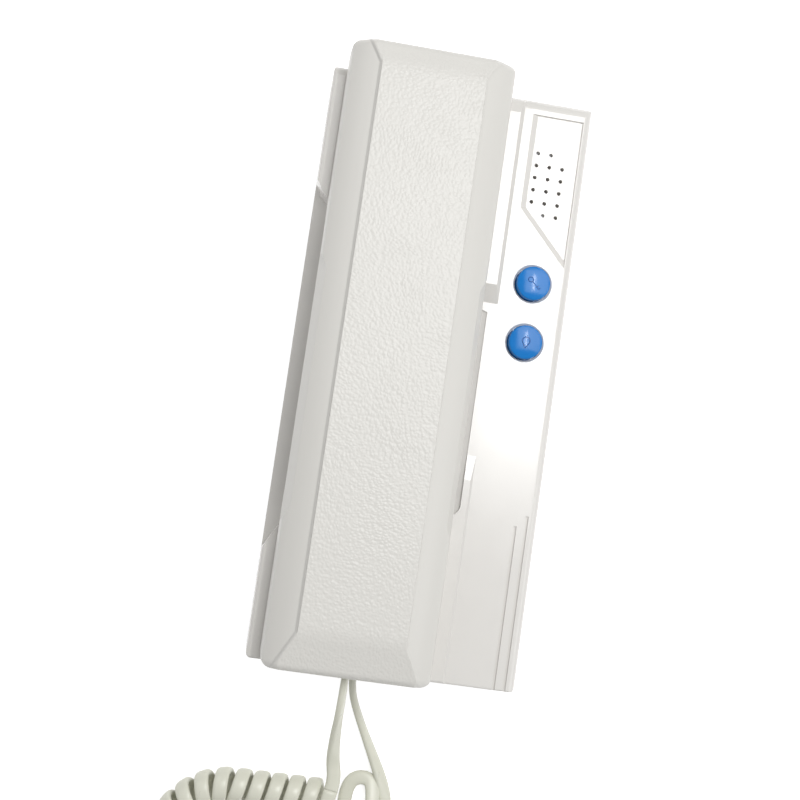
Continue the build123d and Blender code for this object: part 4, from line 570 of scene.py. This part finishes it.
@dataclass
class Studio:
    """Camera at the photograph's viewing angle, pale floor, plain soft lamps."""

    camera_place: Triple = (-0.05382, -0.05320, 0.52400)
    camera_turn: Triple = (0.07885, -0.09859, 0.1476)
    lens: float = 63.0
    sensor_width: float = 36.0
    floor_size: float = 3.0
    floor_z: float = -0.0004
    floor_color: Triple = (0.85, 0.85, 0.85)
    floor_roughness: float = 0.9
    floor_glow: float = 0.70
    sky: float = 0.40
    lamps: tuple[Lamp, ...] = (
        Lamp("lamp_key", (0.28, 0.27, 1.00), (0.60, 0.60), 4.7),
        Lamp("lamp_window", (0.208, 0.222, 0.99), (0.045, 0.36), 1.15),
        Lamp("lamp_left", (-0.30, 0.16, 0.32), (0.30, 0.30), 0.26),
        Lamp("lamp_side", (0.90, -0.10, 0.60), (0.50, 0.50), 1.2),
    )

    def build(self) -> None:
        """Make the camera, the floor, the world and the lamps."""
        self.add_camera()
        self.add_floor()
        self.add_world()
        for lamp in self.lamps:
            lamp.build()
        bpy.context.scene.view_settings.view_transform = "Standard"

    def add_camera(self) -> None:
        """Camera turned by a rotation vector, whose length is the angle."""
        data = bpy.data.cameras.new("camera")
        data.lens = self.lens
        data.sensor_width = self.sensor_width
        camera = bpy.data.objects.new("camera", data)
        turn = Vector(self.camera_turn)
        camera.matrix_world = Matrix.Translation(self.camera_place) @ Quaternion(
            turn.normalized(), turn.length).to_matrix().to_4x4()
        bpy.context.scene.collection.objects.link(camera)
        bpy.context.scene.camera = camera

    def add_floor(self) -> None:
        """Pale floor that shows white to the camera outside the object's shadow."""
        half, z = self.floor_size / 2, self.floor_z
        corners = np.array([[[-half, -half, z], [half, -half, z]],
                            [[-half, half, z], [half, half, z]]])
        mesh = grid_mesh("floor", corners, False)
        floor = bpy.data.objects.new("floor", mesh)
        bpy.context.scene.collection.objects.link(floor)
        recipe = Recipe("floor_paper")
        recipe.shade(Base_Color=(*self.floor_color, 1.0), Roughness=self.floor_roughness)
        path = recipe.node("LightPath")
        seen = recipe.math("MAXIMUM", path.outputs["Is Camera Ray"], path.outputs["Is Glossy Ray"])
        glow = recipe.math("MULTIPLY", seen, self.floor_glow)
        recipe.shade(Emission_Color=WHITE, Emission_Strength=glow)
        mesh.materials.append(recipe.material)

    def add_world(self) -> None:
        """Even pale surroundings."""
        world = bpy.data.worlds.new("surroundings")
        bpy.context.scene.world = world
        world.use_nodes = True
        background = world.node_tree.nodes["Background"]
        background.inputs["Color"].default_value = WHITE
        background.inputs["Strength"].default_value = self.sky


@dataclass
class FlatCord:
    """Cord of a flat rounded section, carried along a smooth route."""

    width: float = 5.2 * MM
    thickness: float = 2.6 * MM
    power: float = 0.7
    around: int = 16
    steps: int = 5
    order: int = 3

    def route(self, name: str, points: np.ndarray) -> np.ndarray:
        """Points read from the NURBS spline whose control points are given.

        Args:
            name: Name for the curve while it is read.
            points: Control points, one row each.

        Returns:
            The curve's points in order.
        """
        data = bpy.data.curves.new(name, "CURVE")
        data.dimensions = "3D"
        spline = data.splines.new("NURBS")
        spline.points.add(len(points) - 1)
        spline.points.foreach_set("co", weighted(points))
        spline.order_u = self.order
        spline.use_endpoint_u = True
        spline.resolution_u = self.steps
        data.resolution_u = self.steps
        holder = bpy.data.objects.new(name, data)
        mesh = bpy.data.meshes.new_from_object(holder)
        found = np.empty(len(mesh.vertices) * 3)
        mesh.vertices.foreach_get("co", found)
        bpy.data.objects.remove(holder)
        bpy.data.meshes.remove(mesh)
        return found.reshape(-1, 3)

    def bulge(self, wave: np.ndarray, size: float) -> np.ndarray:
        """Half the size times a sine or cosine raised to the section's power, its sign kept."""
        return np.sign(wave) * np.abs(wave) ** self.power * size / 2

    def tube(self, name: str, route: np.ndarray, faces: np.ndarray) -> bpy.types.Mesh:
        """Flat tube along a route.

        At each point of the route stands the section, a superellipse: half the thickness times the
        cosine to the section's power along the flat side's direction, and half the width times the
        sine to that power across it.

        Args:
            name: Name of the mesh.
            route: Points of the middle line.
            faces: Direction that the flat side faces, one row for each of some evenly spread
                stations.

        Returns:
            The mesh.
        """
        along = np.gradient(route, axis=0)
        along /= np.linalg.norm(along, axis=1, keepdims=True)
        flat = respread(faces, len(route))
        flat -= along * np.sum(flat * along, axis=1, keepdims=True)
        flat /= np.linalg.norm(flat, axis=1, keepdims=True)
        across = np.cross(along, flat)
        angle = np.linspace(0.0, 2 * np.pi, self.around, endpoint=False)
        thick = self.bulge(np.cos(angle), self.thickness)
        wide = self.bulge(np.sin(angle), self.width)
        grid = (route[:, None, :] + flat[:, None, :] * thick[None, :, None]
                + across[:, None, :] * wide[None, :, None])
        return grid_mesh(name, grid, True)


@dataclass
class Cords:
    """Lead to the handset, curls, and lead to the base, their points in millimetres.

    The flat side of the lead to the base turns from edge-on to flat-on over some of its points,
    and that of the lead to the handset faces along rows given from the handset's end.
    """

    exit_base: Triple = (-8.5, -108.0, 6.2)
    exit_handset: Triple = (-13.0, -109.0, 29.6)
    mean_radius: float = 5.3
    axis_z: float = 7.1
    turns: int = 28
    per_turn: int = 14
    start: tuple[float, float] = (-11.5, -155.5)
    first_run: float = 33.5
    bend_radius: float = 24.0
    second_run: float = 72.0
    end_straight: float = 3.6
    end_nudge: float = 1e-4
    join_run: float = 9.0
    handset_points: tuple[Triple, ...] = (
        (-13.0, -118.5, 29.6),
        (-12.8, -130.0, 20.5),
        (-12.0, -140.5, 13.6),
    )
    handset_faces: tuple[Triple, ...] = (
        (1.0, 0.0, 0.15),
        (0.9, 0.0, 0.45),
        (0.65, 0.0, 0.8),
        (0.35, 0.0, 1.0),
        (0.05, 0.0, 1.0),
    )
    handset_join_run: float = 4.0
    handset_stations: int = 60
    base_points: tuple[Triple, ...] = (
        (-8.5, -116.0, 6.2),
        (-3.4, -127.0, 4.0),
        (2.6, -138.0, 2.9),
        (8.2, -148.5, 2.6),
        (11.2, -158.5, 1.9),
        (6.8, -167.5, 1.9),
        (-1.8, -168.6, 1.9),
        (-5.0, -158.4, 1.9),
        (-3.4, -148.2, 2.1),
        (4.4, -147.4, 2.8),
        (5.6, -156.2, 5.2),
        (4.8, -163.4, 9.2),
        (6.0, -173.4, 9.2),
        (17.0, -182.0, 10.8),
    )
    base_edge_on: Triple = (0.9, 0.35, 0.2)
    base_flat_on: Triple = (0.1, 0.15, 1.0)
    base_turn_start: float = 1.5
    base_turn_points: float = 3.5

    def axis_point(self, turn: np.ndarray) -> tuple[np.ndarray, np.ndarray]:
        """Middle line of the curls: a run to the left, half a ring, and a run back to the right.

        Args:
            turn: Numbers of turns from the handset's end.

        Returns:
            The points in millimetres, and the headings in radians.
        """
        arc = math.pi * self.bend_radius
        gone = (self.first_run + arc + self.second_run) * turn / self.turns
        turned = np.clip((gone - self.first_run) / self.bend_radius, 0.0, math.pi)
        rest = np.maximum(gone - self.first_run - arc, 0.0)
        straight = self.start[0] - np.minimum(gone, self.first_run)
        x = straight - self.bend_radius * np.sin(turned) + rest
        y = self.start[1] - self.bend_radius * (1.0 - np.cos(turned))
        return np.stack([x, y, np.full_like(x, self.axis_z)], axis=1), math.pi + turned

    def curls(self, turn: np.ndarray) -> tuple[np.ndarray, np.ndarray]:
        """Curled line: the middle line plus the radius times a turning direction.

        Args:
            turn: Numbers of turns from the handset's end.

        Returns:
            The points in millimetres, and the outward directions.
        """
        middle, heading = self.axis_point(turn)
        angle = 2 * np.pi * turn
        side = np.stack([-np.sin(heading), np.cos(heading), np.zeros_like(heading)], axis=1)
        outward = side * np.sin(angle)[:, None]
        outward[:, 2] = np.cos(angle)
        return middle + outward * self.mean_radius, outward

    def end(self, turn: float, side: float) -> tuple[np.ndarray, np.ndarray]:
        """Open end of the curls and the direction out of it.

        Args:
            turn: Number of turns at this end.
            side: 1 at the last turn and -1 at the first.

        Returns:
            The end point in millimetres, and the direction.
        """
        pair, _ = self.curls(np.array([turn - self.end_nudge, turn + self.end_nudge]))
        out = (pair[1] - pair[0]) / np.linalg.norm(pair[1] - pair[0]) * side
        return pair.mean(axis=0) + out * self.end_straight, out

    def build(self) -> None:
        """Make the cord from the base with its curls, and the cord to the handset."""
        cord = FlatCord()
        first_end, first_out = self.end(0.0, -1.0)
        self.build_curls(cord, first_end)
        self.build_handset_lead(cord, first_end, first_out)

    def build_curls(self, cord: FlatCord, first_end: np.ndarray) -> None:
        """Make the cord from the base with its curls.

        Args:
            cord: Section of the cord.
            first_end: Where the curls end towards the handset, in millimetres.
        """
        turn = np.arange(self.turns * self.per_turn + 1) / self.per_turn
        curls, outward = self.curls(turn)
        last_end, last_out = self.end(float(self.turns), 1.0)
        join = last_end + last_out * self.join_run
        lead = np.array([self.exit_base, *self.base_points, join, last_end])
        points = np.vstack([lead, curls[::-1], first_end[None]]) * MM
        faces = np.vstack([self.lead_faces(len(lead), outward[-1]), outward[::-1], outward[:1]])
        route = cord.route("curly_route", points)
        mesh = cord.tube("curly_cord_flat", route, faces)
        piece = add_piece("curly_cord_flat", mesh, Finishes.CORD)
        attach(piece, Body.BASE.value)
        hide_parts("base_lead", "curly_cord")
        LOG.info("curly cord: %.3f m", route_length(route))

    def lead_faces(self, count: int, last: np.ndarray) -> np.ndarray:
        """Directions that the flat side of the lead to the base faces, one row for each point.

        Args:
            count: Number of the lead's points.
            last: Direction at its last two points, which the curls go on with.

        Returns:
            The directions.
        """
        gone = (np.arange(count) - self.base_turn_start) / self.base_turn_points
        share = np.clip(gone, 0.0, 1.0)
        faces = np.outer(1.0 - share, self.base_edge_on) + np.outer(share, self.base_flat_on)
        faces[-2:] = last
        return faces

    def build_handset_lead(self, cord: FlatCord, end: np.ndarray, out: np.ndarray) -> None:
        """Make the cord between the handset and the first curl.

        Args:
            cord: Section of the cord.
            end: Where the curls end, in millimetres.
            out: Direction out of the curls there.
        """
        join = end + out * self.handset_join_run
        points = np.array([self.exit_handset, *self.handset_points, join, end]) * MM
        route = respread(cord.route("handset_route", points), self.handset_stations)
        mesh = cord.tube("handset_lead_flat", route, np.array(self.handset_faces))
        piece = add_piece("handset_lead_flat", mesh, Finishes.CORD)
        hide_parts("handset_lead")
        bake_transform(piece)


@dataclass
class ButtonMark:
    """Raised line drawing on a button's domed cap.

    Its sizes are millimetres, and its points are measured from the cap's middle.
    """

    name: str
    body: Body
    middle: tuple[float, float]
    strokes: tuple
    crest_z: float = 27.2
    dome: float = 0.6
    radius: float = 6.15
    line_radius: float = 0.16
    line_rounding: int = 2

    def build(self) -> None:
        """Draw each stroke as a round raised line half sunk in the cap.

        A point's height is the cap's crest less the dome times the square of the point's distance
        from the middle over the cap's radius.
        """
        data = bpy.data.curves.new(self.name, "CURVE")
        data.dimensions = "3D"
        data.bevel_depth = self.line_radius * MM
        data.bevel_resolution = self.line_rounding
        data.use_fill_caps = True
        for stroke in self.strokes:
            flat = np.array(stroke, dtype=float)
            lift = self.crest_z - self.dome * np.sum(flat ** 2, axis=1) / self.radius ** 2
            points = np.column_stack([flat + np.array(self.middle), lift]) * MM
            spline = data.splines.new("POLY")
            spline.points.add(len(points) - 1)
            spline.points.foreach_set("co", weighted(points))
        piece = add_piece(self.name, data, Finishes.MARK)
        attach(piece, self.body.value)


def ring(middle: tuple[float, float], radius: float, first: float = 0.0,
         last: float = 360.0) -> tuple:
    """Points of a circle or an arc: the middle plus the radius times each angle's cosine and sine.

    Args:
        middle: Middle of the circle.
        radius: Its radius.
        first: Angle of the first point in degrees.
        last: Angle of the last point in degrees.

    Returns:
        The points.
    """
    angle = np.radians(np.linspace(first, last, ARC_POINTS))
    return tuple(zip(middle[0] + radius * np.cos(angle), middle[1] + radius * np.sin(angle)))


@dataclass
class ReturnSpring:
    """Coil spring under a button, carried on the base."""

    node: str
    joint: str
    travel: float = 2.0 * MM

    def build(self) -> None:
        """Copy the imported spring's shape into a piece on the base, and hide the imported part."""
        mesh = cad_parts[self.node].data.copy()
        mesh.materials.clear()
        places = np.empty(len(mesh.vertices) * 3)
        mesh.vertices.foreach_get("co", places)
        piece = add_piece(self.node + "_coil", mesh, Finishes.WIRE)
        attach(piece, Body.BASE.value)
        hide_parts(self.node)
        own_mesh(piece)


@dataclass
class Dressing:
    """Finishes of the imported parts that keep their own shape."""

    finishes: dict[str, Finish]

    def build(self) -> None:
        """Give each named part its finish."""
        for name, finish in self.finishes.items():
            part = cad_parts[name]
            part.data.materials.clear()
            part.data.materials.append(finish.material())
            LOG.info("%s: %s", name, finish.name)


BASE_FINISHES = {
    "front_cover": Finishes.COVER,
    "back_plate": Finishes.PLATE,
    "cover_screws": Finishes.STEEL,
    "circuit_board": Finishes.BOARD,
    "board_screws": Finishes.STEEL,
    "terminal_block": Finishes.TERMINAL,
    "terminal_screws": Finishes.STEEL,
    "capacitors": Finishes.CAN,
    "control_chip": Finishes.BLACK,
    "cord_connector": Finishes.NYLON,
    "button_switches": Finishes.BLACK,
    "call_speaker": Finishes.SPEAKER,
    "call_speaker_cone": Finishes.PAPER,
    "speaker_clamp": Finishes.STEEL,
    "speaker_clamp_screws": Finishes.STEEL,
    "hook_bracket": Finishes.STEEL,
    "hook_pin": Finishes.STEEL,
    "hook_spring": Finishes.WIRE,
    "hook_switch": Finishes.BLACK,
    "hook_lever": Finishes.LEVER,
    "unlock_button": Finishes.BUTTON,
    "call_button": Finishes.BUTTON,
    "base_cord_grommet": Finishes.GROMMET,
}
HANDSET_FINISHES = {
    "handset_front_shell": Finishes.SHELL,
    "handset_back_shell": Finishes.BACK,
    "handset_screws": Finishes.STEEL,
    "earpiece_gasket": Finishes.FOAM,
    "earpiece_speaker": Finishes.SPEAKER,
    "earpiece_diaphragm": Finishes.MEMBRANE,
    "microphone_boot": Finishes.BOOT,
    "microphone": Finishes.SPEAKER,
    "ballast_weight": Finishes.WEIGHT,
    "handset_cord_grommet": Finishes.GROMMET,
}


KEY_MARK = ButtonMark("door_key_mark", Body.UPPER_BUTTON, (34.7, 39.3), (
    ring((-1.3, 1.1), 0.9),
    ((-0.7, 0.5), (1.9, -2.1)),
    ((1.2, -1.4), (1.8, -0.8)),
    ((1.9, -2.1), (2.5, -1.5)),
))
LAMP_MARK = ButtonMark("stair_lamp_mark", Body.LOWER_BUTTON, (34.7, 17.5), (
    ring((0.0, 0.4), 1.4, -50.0, 230.0),
    ((-0.9, -0.67), (-0.6, -1.5), (0.6, -1.5), (0.9, -0.67)),
    ((-0.5, -2.1), (0.5, -2.1)),
))


def main() -> None:
    """Build the scene."""
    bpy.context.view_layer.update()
    Studio().build()
    Cords().build()
    Dressing(BASE_FINISHES).build()
    Dressing(HANDSET_FINISHES).build()
    KEY_MARK.build()
    LAMP_MARK.build()
    ReturnSpring("unlock_spring", "unlock_button_press").build()
    ReturnSpring("call_spring", "call_button_press").build()


if __name__ == "__main__":
    main()
